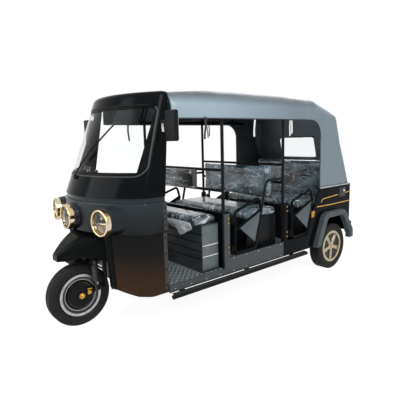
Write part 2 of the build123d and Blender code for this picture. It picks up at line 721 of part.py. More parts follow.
# Long roof rails along the canopy hem
ROOF_RAIL_FRONT_X = CAB_TOP_POST_X - 430
ROOF_RAIL_REAR_X = WAIST_FRONT_X - 100
with BuildPart() as roof_rails:
    for side in (-1, 1):
        add(
            rod(
                (ROOF_RAIL_FRONT_X, side * POST_Y, RAIL_Z),
                (ROOF_RAIL_REAR_X, side * POST_Y, RAIL_Z),
                POST_D,
            )
        )

# Roof bows over the cabin
CROWN_INNER_Z = ROOF_Z - CANOPY_T - SEAM
BOW_D = 24
BOW_STATIONS = [CAB_TOP_POST_X - 440, B_POST_X, C_POST_X, WAIST_FRONT_X + 90]
with BuildPart() as roof_bows:
    for station in BOW_STATIONS:
        add(
            bent_tube(
                [
                    (station, -POST_Y, RAIL_Z + POST_D / 2),
                    (station, -POST_Y, SHOULDER_Z - 55),
                    (station, -BODY_HALF + 105, CROWN_INNER_Z - 63),
                    (station, 0, CROWN_INNER_Z - BOW_D / 2),
                    (station, BODY_HALF - 105, CROWN_INNER_Z - 63),
                    (station, POST_Y, SHOULDER_Z - 55),
                    (station, POST_Y, RAIL_Z + POST_D / 2),
                ],
                BOW_D,
                30,
            )
        )

# Slanted grab tubes beside the middle row
GRAB_TOP_Z = 1056
GRAB_LOW_X = B_POST_X - 375
GRAB_BEND_X = C_POST_X + 238
with BuildPart() as grab_tubes:
    for side in (-1, 1):
        add(
            bent_tube(
                [
                    (GRAB_LOW_X, side * POST_Y, FLOOR_Z),
                    (GRAB_LOW_X, side * POST_Y, SILL_Z - 30),
                    (GRAB_BEND_X, side * POST_Y, GRAB_TOP_Z),
                    (C_POST_X + POST_D / 2, side * POST_Y, GRAB_TOP_Z),
                ],
                DOOR_TUBE_D,
                70,
            )
        )

# Side steps below the skirts
STEP_D = 34
STEP_Y = BODY_HALF + 26
STEP_Z = 272
STEP_REAR_X = WAIST_FRONT_X + 250
STEP_BRACKETS = [CAB_POST_X - 150, B_POST_X - 300, STEP_REAR_X + 150]
with BuildPart() as side_steps:
    for side in (-1, 1):
        add(rod((CAB_POST_X - 10, side * STEP_Y, STEP_Z), (STEP_REAR_X, side * STEP_Y, STEP_Z), STEP_D))
        for station in STEP_BRACKETS:
            with Locations((station, side * (STEP_Y + RAIL_Y) / 2, STEP_Z)):
                Box(40, STEP_Y - RAIL_Y, 12)
            with Locations((station, side * RAIL_Y, (STEP_Z + RAIL_TOP_Z - RAIL_H) / 2)):
                Box(40, RAIL_W, RAIL_TOP_Z - RAIL_H - STEP_Z)

# Rear quarter panels with the wheel arches
ARCH_LOW_Z = SKIRT_LOW_Z - 8
ARCH_TOP_Z = 585
ARCH_CORNER_R = 55
ARCH_POINTS = [
    # ahead of the rear axle, height
    (272, ARCH_LOW_Z - 300),
    (272, ARCH_LOW_Z),
    (148, ARCH_TOP_Z),
    (-150, ARCH_TOP_Z),
    (-290, 380),
    (-300, ARCH_LOW_Z - 300),
]
FLARE_W = 62
FLARE_OUT = 66


def arch_outline(grow):
    """Wheel arch outline in the side view."""
    with BuildSketch(Plane.XZ) as outline:
        with BuildLine():
            Polyline(*[(REAR_AXLE_X + ahead, height) for ahead, height in ARCH_POINTS], close=True)
        make_face()
        fillet(outline.vertices().group_by(Axis.Z)[-1], ARCH_CORNER_R)
        if grow:
            offset(amount=grow, kind=Kind.INTERSECTION)
    return outline.sketch


QUARTER_FRONT = [
    # ahead of the waist corner, height
    (0, WAIST_Z),
    (125, 658),
    (197, SILL_Z),
]
with BuildPart() as quarter_panels:
    with BuildSketch(Plane.XZ.offset(-BODY_HALF)):
        with BuildLine():
            Polyline(
                (C_POST_X + PILLAR_PROUD, SKIRT_LOW_Z - 8),
                (C_POST_X + PILLAR_PROUD, PILLAR_TOP_Z),
                (C_POST_X + PILLAR_PROUD - PILLAR_W, PILLAR_TOP_Z),
                (C_POST_X + PILLAR_PROUD - PILLAR_W, SILL_Z),
                *[(WAIST_FRONT_X + ahead, height) for ahead, height in reversed(QUARTER_FRONT)],
                (TAIL_X, WAIST_Z),
                (TAIL_X, SKIRT_LOW_Z + 60),
                (REAR_AXLE_X, SKIRT_LOW_Z - 8),
                close=True,
            )
        make_face()
    extrude(amount=PANEL_T)
    extrude(arch_outline(0), amount=BODY_HALF + 100, dir=(0, 1, 0), mode=Mode.SUBTRACT)
    mirror(about=Plane.XZ)

# Wheel arch flares
with BuildPart() as fender_flares:
    extrude(arch_outline(FLARE_W), amount=BODY_HALF + FLARE_OUT, dir=(0, 1, 0))
    extrude(arch_outline(0), amount=BODY_HALF + FLARE_OUT + 100, dir=(0, 1, 0), mode=Mode.SUBTRACT)
    with Locations((REAR_AXLE_X, 0, 0)):
        Box(WHEELBASE, 2 * BODY_HALF, 4 * WAIST_Z, mode=Mode.SUBTRACT)
    with Locations((REAR_AXLE_X, 0, 0)):
        Box(WHEELBASE, 4 * BODY_HALF, 2 * ARCH_LOW_Z, mode=Mode.SUBTRACT)
    chamfer(fender_flares.edges().group_by(Axis.Y)[-1], 14)
    mirror(about=Plane.XZ)

# Tail panel
with BuildPart() as tail_panel:
    with BuildSketch(Plane.YZ.offset(TAIL_X)):
        with Locations((0, (SKIRT_LOW_Z + 60 + WAIST_Z) / 2)):
            Rectangle(2 * (BODY_HALF - PANEL_T - SEAM), WAIST_Z - SKIRT_LOW_Z - 60)
    extrude(amount=PANEL_T)

# Tail lamps
LAMP_BOX_W = 90
LAMP_BOX_H = 150
with BuildPart() as tail_lamps:
    for side in (-1, 1):
        with Locations((TAIL_X - 16, side * (BODY_HALF - 90), WAIST_Z - 150)):
            Box(32, LAMP_BOX_W, LAMP_BOX_H)
    fillet(tail_lamps.edges().group_by(Axis.X)[0], 8)

# Rear bumper on two arms from the chassis rails
BUMPER_D = 42
BUMPER_Z = 432
BUMPER_HALF = BODY_HALF - 35
with BuildPart() as rear_bumper:
    add(
        rod(
            (BUMPER_X + BUMPER_D / 2, -BUMPER_HALF, BUMPER_Z),
            (BUMPER_X + BUMPER_D / 2, BUMPER_HALF, BUMPER_Z),
            BUMPER_D,
        )
    )
    fillet(rear_bumper.edges().filter_by(GeomType.CIRCLE), BUMPER_D / 2 - 3)
    for side in (-1, 1):
        with Locations(((BUMPER_X + BUMPER_D / 2 + TAIL_X) / 2, side * RAIL_Y, BUMPER_Z)):
            Box(TAIL_X - BUMPER_X - BUMPER_D / 2, 30, 30)

# Canopy: roof, valances, rear quarters and sloping back in one cloth shell
BOW_X = WAIST_FRONT_X + 70
BACK_TOP_X = TAIL_X + 262
BACK_TOP_Z = ROOF_Z - 130
BACK_LOW_X = TAIL_X + 40
CANOPY_FRONT_X = CAB_TOP_POST_X - 8
CANOPY_LENGTH = CANOPY_FRONT_X - TAIL_X
SHOULDER_R = 110
SHOULDER_IN = 70
CROWN_RISE = 46
HEM_CORNER_R = 160
FRONT_PINCH = 62
FRONT_PINCH_RUN = 420
BACK_TOP_R = 90
WINDOW_W = 500
WINDOW_H = 230
WINDOW_Z = WAIST_Z + 407


def canopy_block(inset):
    """Filled canopy shape, shrunk by the given inset."""
    half = BODY_HALF - inset
    top_z = ROOF_Z - inset
    edge_z = top_z - CROWN_RISE
    low_z = WAIST_Z - 2 * inset
    back_slope = (BACK_TOP_X - BACK_LOW_X) / (BACK_TOP_Z - WAIST_Z)
    with BuildPart() as block:
        with BuildSketch(Plane.YZ.offset(CANOPY_FRONT_X + 2 * inset)) as outline:
            with BuildLine():
                Polyline(
                    (-half + SHOULDER_IN, edge_z),
                    (-half, SHOULDER_Z - 40),
                    (-half, low_z),
                    (half, low_z),
                    (half, SHOULDER_Z - 40),
                    (half - SHOULDER_IN, edge_z),
                )
                ThreePointArc((half - SHOULDER_IN, edge_z), (0, top_z), (-half + SHOULDER_IN, edge_z))
            make_face()
            fillet(outline.vertices().group_by(Axis.Y)[-1], SHOULDER_R - inset)
        extrude(amount=-CANOPY_LENGTH - 4 * inset)
        with BuildSketch(Plane.XZ) as side_view:
            with BuildLine():
                Polyline(
                    (CANOPY_FRONT_X + 2 * inset, low_z),
                    (CANOPY_FRONT_X + 2 * inset, ROOF_Z + CROWN_RISE),
                    (BOW_X, ROOF_Z + CROWN_RISE),
                    (BOW_X, top_z + inset / 8),
                    (BACK_TOP_X + inset, BACK_TOP_Z - inset),
                    (BACK_LOW_X + inset - back_slope * (WAIST_Z - low_z), low_z),
                    close=True,
                )
            make_face()
        extrude(amount=BODY_HALF, both=True, mode=Mode.INTERSECT)
        with BuildSketch(Plane.XY.offset(low_z)):
            with BuildLine():
                Polyline(
                    (CANOPY_FRONT_X + 2 * inset, half - FRONT_PINCH),
                    (CANOPY_FRONT_X - FRONT_PINCH_RUN, half),
                    (TAIL_X - BUMPER_REACH, half),
                    (TAIL_X - BUMPER_REACH, -half),
                    (CANOPY_FRONT_X - FRONT_PINCH_RUN, -half),
                    (CANOPY_FRONT_X + 2 * inset, -half + FRONT_PINCH),
                    close=True,
                )
            make_face()
        extrude(amount=2 * ROOF_Z, mode=Mode.INTERSECT)
        back = block.faces().filter_by(Axis.X, reverse=True).sort_by(Axis.X)[0]
        fillet(back.edges().filter_by(Axis.Y).sort_by(Axis.Z)[-1:], BACK_TOP_R - inset)
    return block.part


with BuildPart() as canopy:
    add(canopy_block(0))
    add(canopy_block(CANOPY_T), mode=Mode.SUBTRACT)
    with BuildSketch(Plane.XZ) as opening:
        with BuildLine():
            Polyline(
                (CAB_POST_X + AXLE_TO_POST, WAIST_Z - 4 * CANOPY_T),
                (CAB_POST_X + AXLE_TO_POST, HEM_Z),
                (WAIST_FRONT_X, HEM_Z),
                (WAIST_FRONT_X, WAIST_Z - 4 * CANOPY_T),
                close=True,
            )
        make_face()
        fillet(opening.vertices().sort_by(Axis.X)[:2].sort_by(Axis.Y)[-1:], HEM_CORNER_R)
    extrude(amount=2 * BODY_HALF, both=True, mode=Mode.SUBTRACT)
    with BuildSketch(Plane.YZ.offset(TAIL_X - BUMPER_REACH)):
        with Locations((0, WINDOW_Z)):
            RectangleRounded(WINDOW_W, WINDOW_H, 40)
    extrude(amount=WAIST_TO_TAIL, mode=Mode.SUBTRACT)

# Mirrors on the cab pillars
MIRROR_W = 120
MIRROR_H = 215
MIRROR_T = 40
MIRROR_Z = CAB_TOP_Z - 258
MIRROR_X = CAB_POST_X - 20
MIRROR_OUT = 13
MIRROR_ARM_L = 140
with BuildPart() as mirrors:
    for side in (-1, 1):
        with Locations((MIRROR_X, side * (BODY_HALF + MIRROR_OUT + MIRROR_W / 2), MIRROR_Z)):
            Box(MIRROR_T, MIRROR_W, MIRROR_H)
    fillet(mirrors.edges(), 12)
    for side in (-1, 1):
        with Locations((MIRROR_X, side * (BODY_HALF + MIRROR_OUT - 22), MIRROR_Z + 33)):
            Box(24, MIRROR_ARM_L, 24)
    loft(sections=upper_cab_sections(CREASE_Z, CAB_TOP_Z, -SEAM, 300), ruled=True, mode=Mode.SUBTRACT)

# Rear axle with the drive unit, and the leaf springs
AXLE_D = 56
STUB_D = 36
DRIVE_R = 88
HUB_FACE_Y = REAR_WHEEL_Y - 60
with BuildPart() as rear_axle:
    add(rod((REAR_AXLE_X, -HUB_FACE_Y + 6, TYRE_R), (REAR_AXLE_X, HUB_FACE_Y - 6, TYRE_R), AXLE_D))
    add(rod((REAR_AXLE_X, -REAR_WHEEL_Y - 20, TYRE_R), (REAR_AXLE_X, REAR_WHEEL_Y + 20, TYRE_R), STUB_D))
    add(rod((REAR_AXLE_X, -70, TYRE_R), (REAR_AXLE_X, 70, TYRE_R), 2 * DRIVE_R))
    add(rod((REAR_AXLE_X, 0, TYRE_R), (REAR_AXLE_X + 260, 0, TYRE_R + 8), 150))

SPRING_W = 46
SPRING_T = 14
SPRING_HALF = 330
SPRING_EYE_Z = RAIL_TOP_Z - RAIL_H - 8
with BuildPart() as rear_springs:
    for side in (-1, 1):
        with BuildSketch(Plane.XZ.offset(-side * RAIL_Y)):
            with BuildLine():
                ThreePointArc(
                    (REAR_AXLE_X - SPRING_HALF, SPRING_EYE_Z),
                    (REAR_AXLE_X, TYRE_R - AXLE_D / 2 - SPRING_T),
                    (REAR_AXLE_X + SPRING_HALF, SPRING_EYE_Z),
                )
                Line((REAR_AXLE_X + SPRING_HALF, SPRING_EYE_Z), (REAR_AXLE_X + SPRING_HALF, SPRING_EYE_Z + 8))
                Line((REAR_AXLE_X + SPRING_HALF, SPRING_EYE_Z + 8), (REAR_AXLE_X + SPRING_HALF - 40, SPRING_EYE_Z + 8))
                ThreePointArc(
                    (REAR_AXLE_X + SPRING_HALF - 40, SPRING_EYE_Z + 8),
                    (REAR_AXLE_X, TYRE_R - AXLE_D / 2),
                    (REAR_AXLE_X - SPRING_HALF + 40, SPRING_EYE_Z + 8),
                )
                Line((REAR_AXLE_X - SPRING_HALF + 40, SPRING_EYE_Z + 8), (REAR_AXLE_X - SPRING_HALF, SPRING_EYE_Z + 8))
                Line((REAR_AXLE_X - SPRING_HALF, SPRING_EYE_Z + 8), (REAR_AXLE_X - SPRING_HALF, SPRING_EYE_Z))
            make_face()
        extrude(amount=SPRING_W / 2, both=True)

# Door hinges: brackets on the pillars with vertical pins
PIN_D = 10
KNUCKLE_D = 24
KNUCKLE_H = 34
HINGE_ZS = [515, 762]
HINGE_BACK = 76
PIN_Y = BODY_HALF
HINGE_GAP = 1
DOOR_POSTS = [B_POST_X, C_POST_X]
with BuildPart() as door_hinges:
    for post_x in DOOR_POSTS:
        for side in (-1, 1):
            for hinge_z in HINGE_ZS:
                pin_x = post_x - HINGE_BACK
                bracket_x = post_x + PILLAR_PROUD - PILLAR_W
                with Locations((pin_x, side * PIN_Y, hinge_z)):
                    Cylinder(PIN_D / 2, KNUCKLE_H + 40)
                for end in (-1, 1):
                    plate_z = hinge_z + end * (KNUCKLE_H / 2 + HINGE_GAP + 4)
                    with Locations(((pin_x - 8 + bracket_x) / 2, side * (PIN_Y - 4), plate_z)):
                        Box(bracket_x - pin_x + 8, 18, 8)

# Doors: low tube frames with a plate, hinged at their front edge
DOOR_Y = PIN_Y
DOOR_EDGE = 108
DOOR_LOW_Z = SILL_Z + 24
DOOR_LOOP = [
    # behind the post, height
    (DOOR_EDGE, DOOR_LOW_Z),
    (350, DOOR_LOW_Z),
    (440, 800),
    (405, 916),
    (DOOR_EDGE, 826),
]
DOOR_PLATE = [
    # behind the post, height
    (150, 684),
    (435, 806),
    (366, DOOR_LOW_Z + 40),
]
BRACE = [(DOOR_EDGE, 664), (442, 812)]
PLATE_T = 6


def tube_door(post_x, side):
    """One low door: closed tube loop, brace, plate and two hinge knuckles."""
    with BuildPart() as door:
        corners = [(post_x - behind, side * DOOR_Y, height) for behind, height in DOOR_LOOP]
        with BuildLine(mode=Mode.PRIVATE) as path:
            FilletPolyline(*corners, radius=32, close=True)
        with BuildSketch(Plane(origin=path.line @ 0, z_dir=path.line % 0)):
            Circle(DOOR_TUBE_D / 2)
        sweep(path=path.wires()[0])
        start, end = [(post_x - behind, side * DOOR_Y, height) for behind, height in BRACE]
        add(rod(start, end, DOOR_TUBE_D - 5))
        with BuildSketch(Plane.XZ.offset(-side * DOOR_Y)):
            with BuildLine():
                Polyline(*[(post_x - behind, height) for behind, height in DOOR_PLATE], close=True)
            make_face()
        extrude(amount=PLATE_T / 2, both=True)
        for hinge_z in HINGE_ZS:
            with Locations((post_x - (HINGE_BACK + DOOR_EDGE) / 2, side * DOOR_Y, hinge_z)):
                Box(DOOR_EDGE - HINGE_BACK, 8, KNUCKLE_H)
            with Locations((post_x - HINGE_BACK, side * PIN_Y, hinge_z)):
                Cylinder(KNUCKLE_D / 2, KNUCKLE_H)
                Cylinder(PIN_D / 2 + RUN_GAP, KNUCKLE_H, mode=Mode.SUBTRACT)
    return door


DOORS = {
    "middle_door_left": tube_door(B_POST_X, 1),
    "middle_door_right": tube_door(B_POST_X, -1),
    "rear_door_left": tube_door(C_POST_X, 1),
    "rear_door_right": tube_door(C_POST_X, -1),
}

# Front fork: stem, crown and two legs behind the wheel
LINK_T = 10
LINK_Y = 60
CROWN_AT = 304
CROWN_H = 34
LEG_D = 30
LEG_Y = 82
LEG_TOP_BACK = 112
PIVOT_BACK = 185
PIVOT_AT = 107
SHOCK_Y = 88
SHOCK_TOP_BACK = 14
FENDER_GAP = 20
FENDER_T = 5
FENDER_HALF = 56
FENDER_FROM = 78
FENDER_TO = 146
FENDER_R = TYRE_R + FENDER_GAP
STRUT_L = 40
with BuildPart() as fork:
    with Locations(STEER_PLANE.offset(CROWN_AT).location):
        Cylinder(STEER_STEM_D / 2, BAR_AT - CROWN_AT, align=(Align.CENTER, Align.CENTER, Align.MIN))
    with BuildSketch(STEER_PLANE.offset(CROWN_AT)):
        with Locations((-LEG_TOP_BACK / 2 + 8, 0)):
            RectangleRounded(LEG_TOP_BACK + 60, 2 * LEG_Y + LEG_D + 8, 18)
    extrude(amount=CROWN_H)
    with BuildSketch(Plane.XZ):
        with Locations((AXLE_POINT[0], AXLE_POINT[2])):
            Circle(FENDER_R + FENDER_T)
            Circle(FENDER_R, mode=Mode.SUBTRACT)
        with BuildLine():
            Polyline(
                (AXLE_POINT[0], AXLE_POINT[2]),
                *[
                    (
                        AXLE_POINT[0] + 2 * FENDER_R * math.cos(math.radians(angle)),
                        AXLE_POINT[2] + 2 * FENDER_R * math.sin(math.radians(angle)),
                    )
                    for angle in (FENDER_FROM, FENDER_TO)
                ],
                close=True,
            )
        make_face(mode=Mode.INTERSECT)
    extrude(amount=FENDER_HALF, both=True)
    with Locations(STEER_PLANE.offset(FENDER_R + 1).location):
        Box(STRUT_L, STRUT_L, CROWN_AT + 6 - FENDER_R, align=(Align.CENTER, Align.CENTER, Align.MIN))
    for side in (-1, 1):
        add(
            rod(
                on_steer(-LEG_TOP_BACK, side * LEG_Y, CROWN_AT + 5),
                on_steer(-PIVOT_BACK, side * LEG_Y, PIVOT_AT),
                LEG_D,
            )
        )
        pivot = on_steer(-PIVOT_BACK, side * LEG_Y, PIVOT_AT)
        boss_y = side * (LINK_Y + LINK_T / 2)
        add(rod((pivot[0], boss_y, pivot[2]), (pivot[0], side * (LEG_Y + 16), pivot[2]), 40))

# Leading link with the front axle and the brake plate
FRONT_AXLE_D = 17
BRAKE_R = 96
with BuildPart() as front_link:
    pivot = on_steer(-PIVOT_BACK, 0, PIVOT_AT)
    for side in (-1, 1):
        with BuildSketch(Plane.XZ.offset(-side * LINK_Y)):
            with Locations((pivot[0], pivot[2])):
                Circle(20)
            with Locations((FRONT_AXLE_X, TYRE_R)):
                Circle(22)
            with BuildLine():
                Polyline(
                    (pivot[0], pivot[2] + 18),
                    (FRONT_AXLE_X, TYRE_R + 18),
                    (FRONT_AXLE_X, TYRE_R - 18),
                    (pivot[0], pivot[2] - 18),
                    close=True,
                )
            make_face()
        extrude(amount=LINK_T / 2, both=True)
    add(rod((FRONT_AXLE_X, -LINK_Y - 22, TYRE_R), (FRONT_AXLE_X, LINK_Y + 22, TYRE_R), FRONT_AXLE_D))
    add(rod((FRONT_AXLE_X, LINK_Y - LINK_T / 2 - 10, TYRE_R), (FRONT_AXLE_X, LINK_Y - LINK_T / 2, TYRE_R), 2 * BRAKE_R))

# Shock absorbers between the link and the crown
SHOCK_LOW_BACK = 112
SHOCK_D = 42
with BuildPart() as front_shocks:
    for side in (-1, 1):
        top = on_steer(-SHOCK_TOP_BACK, side * SHOCK_Y, CROWN_AT + 20)
        low = (FRONT_AXLE_X - SHOCK_LOW_BACK, side * SHOCK_Y, TYRE_R + 44)
        add(rod(low, top, 18))
        run = Vector(*top) - Vector(*low)
        spring_low = Vector(*low) + run * 0.22
        spring_top = Vector(*low) + run * 0.9
        add(rod(tuple(spring_low), tuple(spring_top), SHOCK_D))
        inner_y = side * (LINK_Y + LINK_T / 2)
        add(rod((low[0], inner_y, low[2] - 26), (low[0], side * (SHOCK_Y + 12), low[2] - 26), 16))
        add(rod((low[0], side * SHOCK_Y, low[2] - 26), low, 18))
    split(bisect_by=STEER_PLANE.offset(CROWN_AT), keep=Keep.BOTTOM)

# Handlebar
BAR_D = 24
BAR_HALF = 290
BAR_SWEEP = 70
with BuildPart() as handlebar:
    with Locations(STEER_PLANE.offset(BAR_AT - 44).location):
        Cylinder(30, 60, align=(Align.CENTER, Align.CENTER, Align.MIN))
    add(
        bent_tube(
            [
                on_steer(-BAR_SWEEP, -BAR_HALF, BAR_AT),
                on_steer(0, -90, BAR_AT),
                on_steer(0, 90, BAR_AT),
                on_steer(-BAR_SWEEP, BAR_HALF, BAR_AT),
            ],
            BAR_D,
            60,
        )
    )
    with Locations(STEER_PLANE.offset(CROWN_AT).location):
        Cylinder(
            STEER_STEM_D / 2,
            BAR_AT - CROWN_AT,
            align=(Align.CENTER, Align.CENTER, Align.MIN),
            mode=Mode.SUBTRACT,
        )


def tyre(axle_x, wheel_y, width):
    """Road tyre with rounded shoulders, open at the bead."""
    half = width / 2
    bead_half = half * 0.8
    with BuildPart() as ring:
        with BuildSketch(Plane.XY):
            with BuildLine():
                FilletPolyline(
                    (BEAD_R, -bead_half),
                    (RIM_FLANGE_R + 3, -bead_half),
                    (BEAD_R + 38, -half),
                    (TYRE_R - 26, -half),
                    (TYRE_R, -half * 0.72),
                    (TYRE_R, half * 0.72),
                    (TYRE_R - 26, half),
                    (BEAD_R + 38, half),
                    (RIM_FLANGE_R + 3, bead_half),
                    (BEAD_R, bead_half),
                    radius=6,
                )
                Line((BEAD_R, bead_half), (BEAD_R, -bead_half))
            make_face()
        revolve(axis=Axis.Y)
    ring.part = ring.part.moved(Location((axle_x, wheel_y, TYRE_R)))
    return ring


FRONT_HUB_HALF = 44
FRONT_BEAD_HALF = FRONT_TYRE_W * 0.4


def steel_rim():
    """Pressed steel rim with the brake drum hub."""
    with BuildPart() as rim:
        with BuildSketch(Plane.XY):
            with BuildLine():
                Polyline(
                    (BEAD_R - SEAM, -FRONT_BEAD_HALF),
                    (BEAD_R - SEAM, FRONT_BEAD_HALF),
                    (BEAD_R - 14, FRONT_BEAD_HALF),
                    (BEAD_R - 14, 14),
                    (110, 14),
                    (104, FRONT_HUB_HALF),
                    (FRONT_AXLE_D / 2 + RUN_GAP, FRONT_HUB_HALF),
                    (FRONT_AXLE_D / 2 + RUN_GAP, -FRONT_HUB_HALF),
                    (60, -FRONT_HUB_HALF),
                    (70, -10),
                    (BEAD_R - 14, -10),
                    (BEAD_R - 14, -FRONT_BEAD_HALF),
                    close=True,
                )
            make_face()
        revolve(axis=Axis.Y)
        for side in (-1, 1):
            with BuildSketch(Plane.XZ.offset(-side * FRONT_BEAD_HALF)):
                Circle(RIM_FLANGE_R)
                Circle(BEAD_R - 14, mode=Mode.SUBTRACT)
            extrude(amount=-side * 5)
    rim.part = rim.part.moved(Location((FRONT_AXLE_X, 0, TYRE_R)))
    return rim


SPOKES = 5
REAR_BEAD_HALF = REAR_TYRE_W * 0.4


def alloy_rim(side):
    """Cast rim with five spokes; the open face looks outward."""
    with BuildPart() as rim:
        with BuildSketch(Plane.XY):
            with BuildLine():
                Polyline(
                    (BEAD_R - SEAM, -REAR_BEAD_HALF),
                    (BEAD_R - SEAM, REAR_BEAD_HALF),
                    (BEAD_R - 14, REAR_BEAD_HALF),
                    (BEAD_R - 14, 40),
                    (60, 34),
                    (50, 40),
                    (STUB_D / 2 + RUN_GAP, 40),
                    (STUB_D / 2 + RUN_GAP, -50),
                    (56, -50),
                    (60, 8),
                    (BEAD_R - 14, 14),
                    (BEAD_R - 14, -REAR_BEAD_HALF),
                    close=True,
                )
            make_face()
        revolve(axis=Axis.Y)
        for flange in (-1, 1):
            with BuildSketch(Plane.XZ.offset(-flange * REAR_BEAD_HALF)):
                Circle(RIM_FLANGE_R)
                Circle(BEAD_R - 14, mode=Mode.SUBTRACT)
            extrude(amount=-flange * 5)
        with BuildSketch(Plane.XZ):
            with PolarLocations(0, SPOKES):
                with BuildLine():
                    Polyline((62, -14), (BEAD_R - 20, -56), (BEAD_R - 20, 56), (62, 14), close=True)
                make_face()
        extrude(amount=100, both=True, mode=Mode.SUBTRACT)
    if side < 0:
        rim.part = rim.part.rotate(Axis.Z, 180)
    rim.part = rim.part.moved(Location((REAR_AXLE_X, side * REAR_WHEEL_Y, TYRE_R)))
    return rim


WHEELS = {
    "front_tyre": tyre(FRONT_AXLE_X, 0, FRONT_TYRE_W),
    "front_rim": steel_rim(),
    "rear_tyre_left": tyre(REAR_AXLE_X, REAR_WHEEL_Y, REAR_TYRE_W),
    "rear_rim_left": alloy_rim(1),
    "rear_tyre_right": tyre(REAR_AXLE_X, -REAR_WHEEL_Y, REAR_TYRE_W),
    "rear_rim_right": alloy_rim(-1),
}

NODES = {
    "chassis_frame": chassis_frame,
    "floor_pan": floor_pan,
    "front_cowl": front_cowl,
    "leg_shields": leg_shields,
    "cab_front": cab_front,
    "windscreen": windscreen,
    "front_mudguard": front_mudguard,
    "headlamp_bezels": headlamp_bezels,
    "headlamp_lenses": headlamp_lenses,
    "dashboard": dashboard,
    "driver_seat_box": driver_seat_box,
    "driver_cushion": driver_cushion,
    "driver_backrest": driver_backrest,
    "partition": partition,
    "side_posts": side_posts,
    "back_rails": back_rails,
    "roof_rails": roof_rails,
    "roof_bows": roof_bows,
    "grab_tubes": grab_tubes,
    "middle_seat_base": middle_seat_base,
    "middle_cushion": middle_cushion,
    "middle_backrest": middle_backrest,
    "traction_battery": traction_battery,
    "rear_seat_base": rear_seat_base,
    "rear_cushion": rear_cushion,
    "rear_backrest": rear_backrest,
    "skirts": skirts,
    "side_steps": side_steps,
    "quarter_panels": quarter_panels,
    "fender_flares": fender_flares,
    "tail_panel": tail_panel,
    "tail_lamps": tail_lamps,
    "rear_bumper": rear_bumper,
    "canopy": canopy,
    "mirrors": mirrors,
    "rear_axle": rear_axle,
    "rear_springs": rear_springs,
    "door_hinges": door_hinges,
    "fork": fork,
    "front_link": front_link,
    "front_shocks": front_shocks,
    "handlebar": handlebar,
    **DOORS,
    **WHEELS,
}

for name, node in NODES.items():
    node.part.label = name
    export_step(node.part, f"parts/{name}.step")
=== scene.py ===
"""Auto rickshaw: finishes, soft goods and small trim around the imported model."""

import math

import bmesh
import bpy
from bpy.props import FloatProperty, FloatVectorProperty, PointerProperty
from mathutils import Matrix, Vector, noise


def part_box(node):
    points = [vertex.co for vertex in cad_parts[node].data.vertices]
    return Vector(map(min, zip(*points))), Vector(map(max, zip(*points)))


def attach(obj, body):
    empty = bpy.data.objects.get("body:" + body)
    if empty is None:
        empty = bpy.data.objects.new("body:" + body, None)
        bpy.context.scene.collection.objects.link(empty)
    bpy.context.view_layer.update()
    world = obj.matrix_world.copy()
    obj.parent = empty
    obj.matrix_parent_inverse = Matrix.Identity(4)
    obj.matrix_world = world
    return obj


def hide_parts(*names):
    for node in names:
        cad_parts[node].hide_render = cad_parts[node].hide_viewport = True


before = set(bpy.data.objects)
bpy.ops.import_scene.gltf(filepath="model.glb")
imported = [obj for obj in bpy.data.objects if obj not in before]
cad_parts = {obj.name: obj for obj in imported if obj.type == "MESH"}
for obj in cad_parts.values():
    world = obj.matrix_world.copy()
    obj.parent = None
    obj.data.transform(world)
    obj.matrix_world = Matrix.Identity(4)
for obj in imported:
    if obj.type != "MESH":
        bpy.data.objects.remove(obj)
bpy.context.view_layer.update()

bl_info = {
    "name": "Auto rickshaw",
    "version": (1, 0, 0),
    "blender": (4, 5, 0),
    "location": "3D View > Sidebar > Rickshaw",
    "description": "Dresses the packed auto rickshaw with finishes, cloth, tyres and trim",
    "category": "Object",
}

MM = 0.001
CUT_SNAP = 1e-5
WELD = 2e-5
CHASSIS = "chassis"
STEERING = "steering"
POST_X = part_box("front_cowl")[0].x
FLOOR_TOP = 0.350
AXLE = sum(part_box("front_tyre"), Vector()) / 2


def linear(text):
    """Linear RGBA from an sRGB hex colour."""
    values = [int(text[i : i + 2], 16) / 255 for i in (0, 2, 4)]
    return (*[v / 12.92 if v <= 0.04045 else ((v + 0.055) / 1.055) ** 2.4 for v in values], 1.0)


def colour(name, text, note):
    """A colour that the panel shows."""
    look = {"subtype": "COLOR", "size": 4, "min": 0, "max": 1}
    return FloatVectorProperty(name=name, description=note, default=linear(text), **look)


def length(name, value, note):
    """A length in metres that the panel shows."""
    return FloatProperty(name=name, description=note, default=value, unit="LENGTH", precision=4)


class RickshawSizes(bpy.types.PropertyGroup):
    """Sizes of the soft goods and trim."""

    tread_depth: length("Tread depth", 0.0055, "Height of the tread blocks above the grooves")
    canopy_sag: length("Canopy sag", 0.009, "How far the roof cloth sinks between the bows")
    canopy_thick: length("Canopy thickness", 0.004, "Thickness of the canopy cloth")
    pad_swell: length("Pad swell", 0.016, "The most that a seat pad bulges from its cut shape")
    piping: length("Piping radius", 0.004, "Radius of the welt along sewn edges")
    stripe: length("Stripe width", 0.009, "Width of the gold pinstripes")


class RickshawColours(bpy.types.PropertyGroup):
    """Colours of the finishes."""

    body: colour("Body paint", "07090B", "Gloss black body enamel")
    frame_black: colour("Frame paint", "0D0E10", "Powder coat on the tubes")
    skirt: colour("Skirt paint", "1E2426", "Satin paint on the sill panels")
    flare: colour("Flare plastic", "333A3E", "Grained plastic of the wheel-arch flares")
    canopy: colour("Canopy vinyl", "283036", "Coated canopy cloth")
    seat: colour("Seat vinyl", "101113", "Vinyl of the seats")
    gold: colour("Gold", "C8963A", "Pinstripes and passivated hardware")
    mat: colour("Floor mat", "17181A", "Chequered rubber mat")
    alloy: colour("Alloy", "B9AF98", "Cast wheels at the rear")


def add_node(tree, kind, values=None, links=None, **settings):
    """Add one shader node with its settings, socket values and links."""
    node = tree.nodes.new(kind)
    for name, value in settings.items():
        setattr(node, name, value)
    for socket, value in (values or {}).items():
        node.inputs[socket].default_value = value
    for socket, source in (links or {}).items():
        tree.links.new(source, node.inputs[socket])
    return node


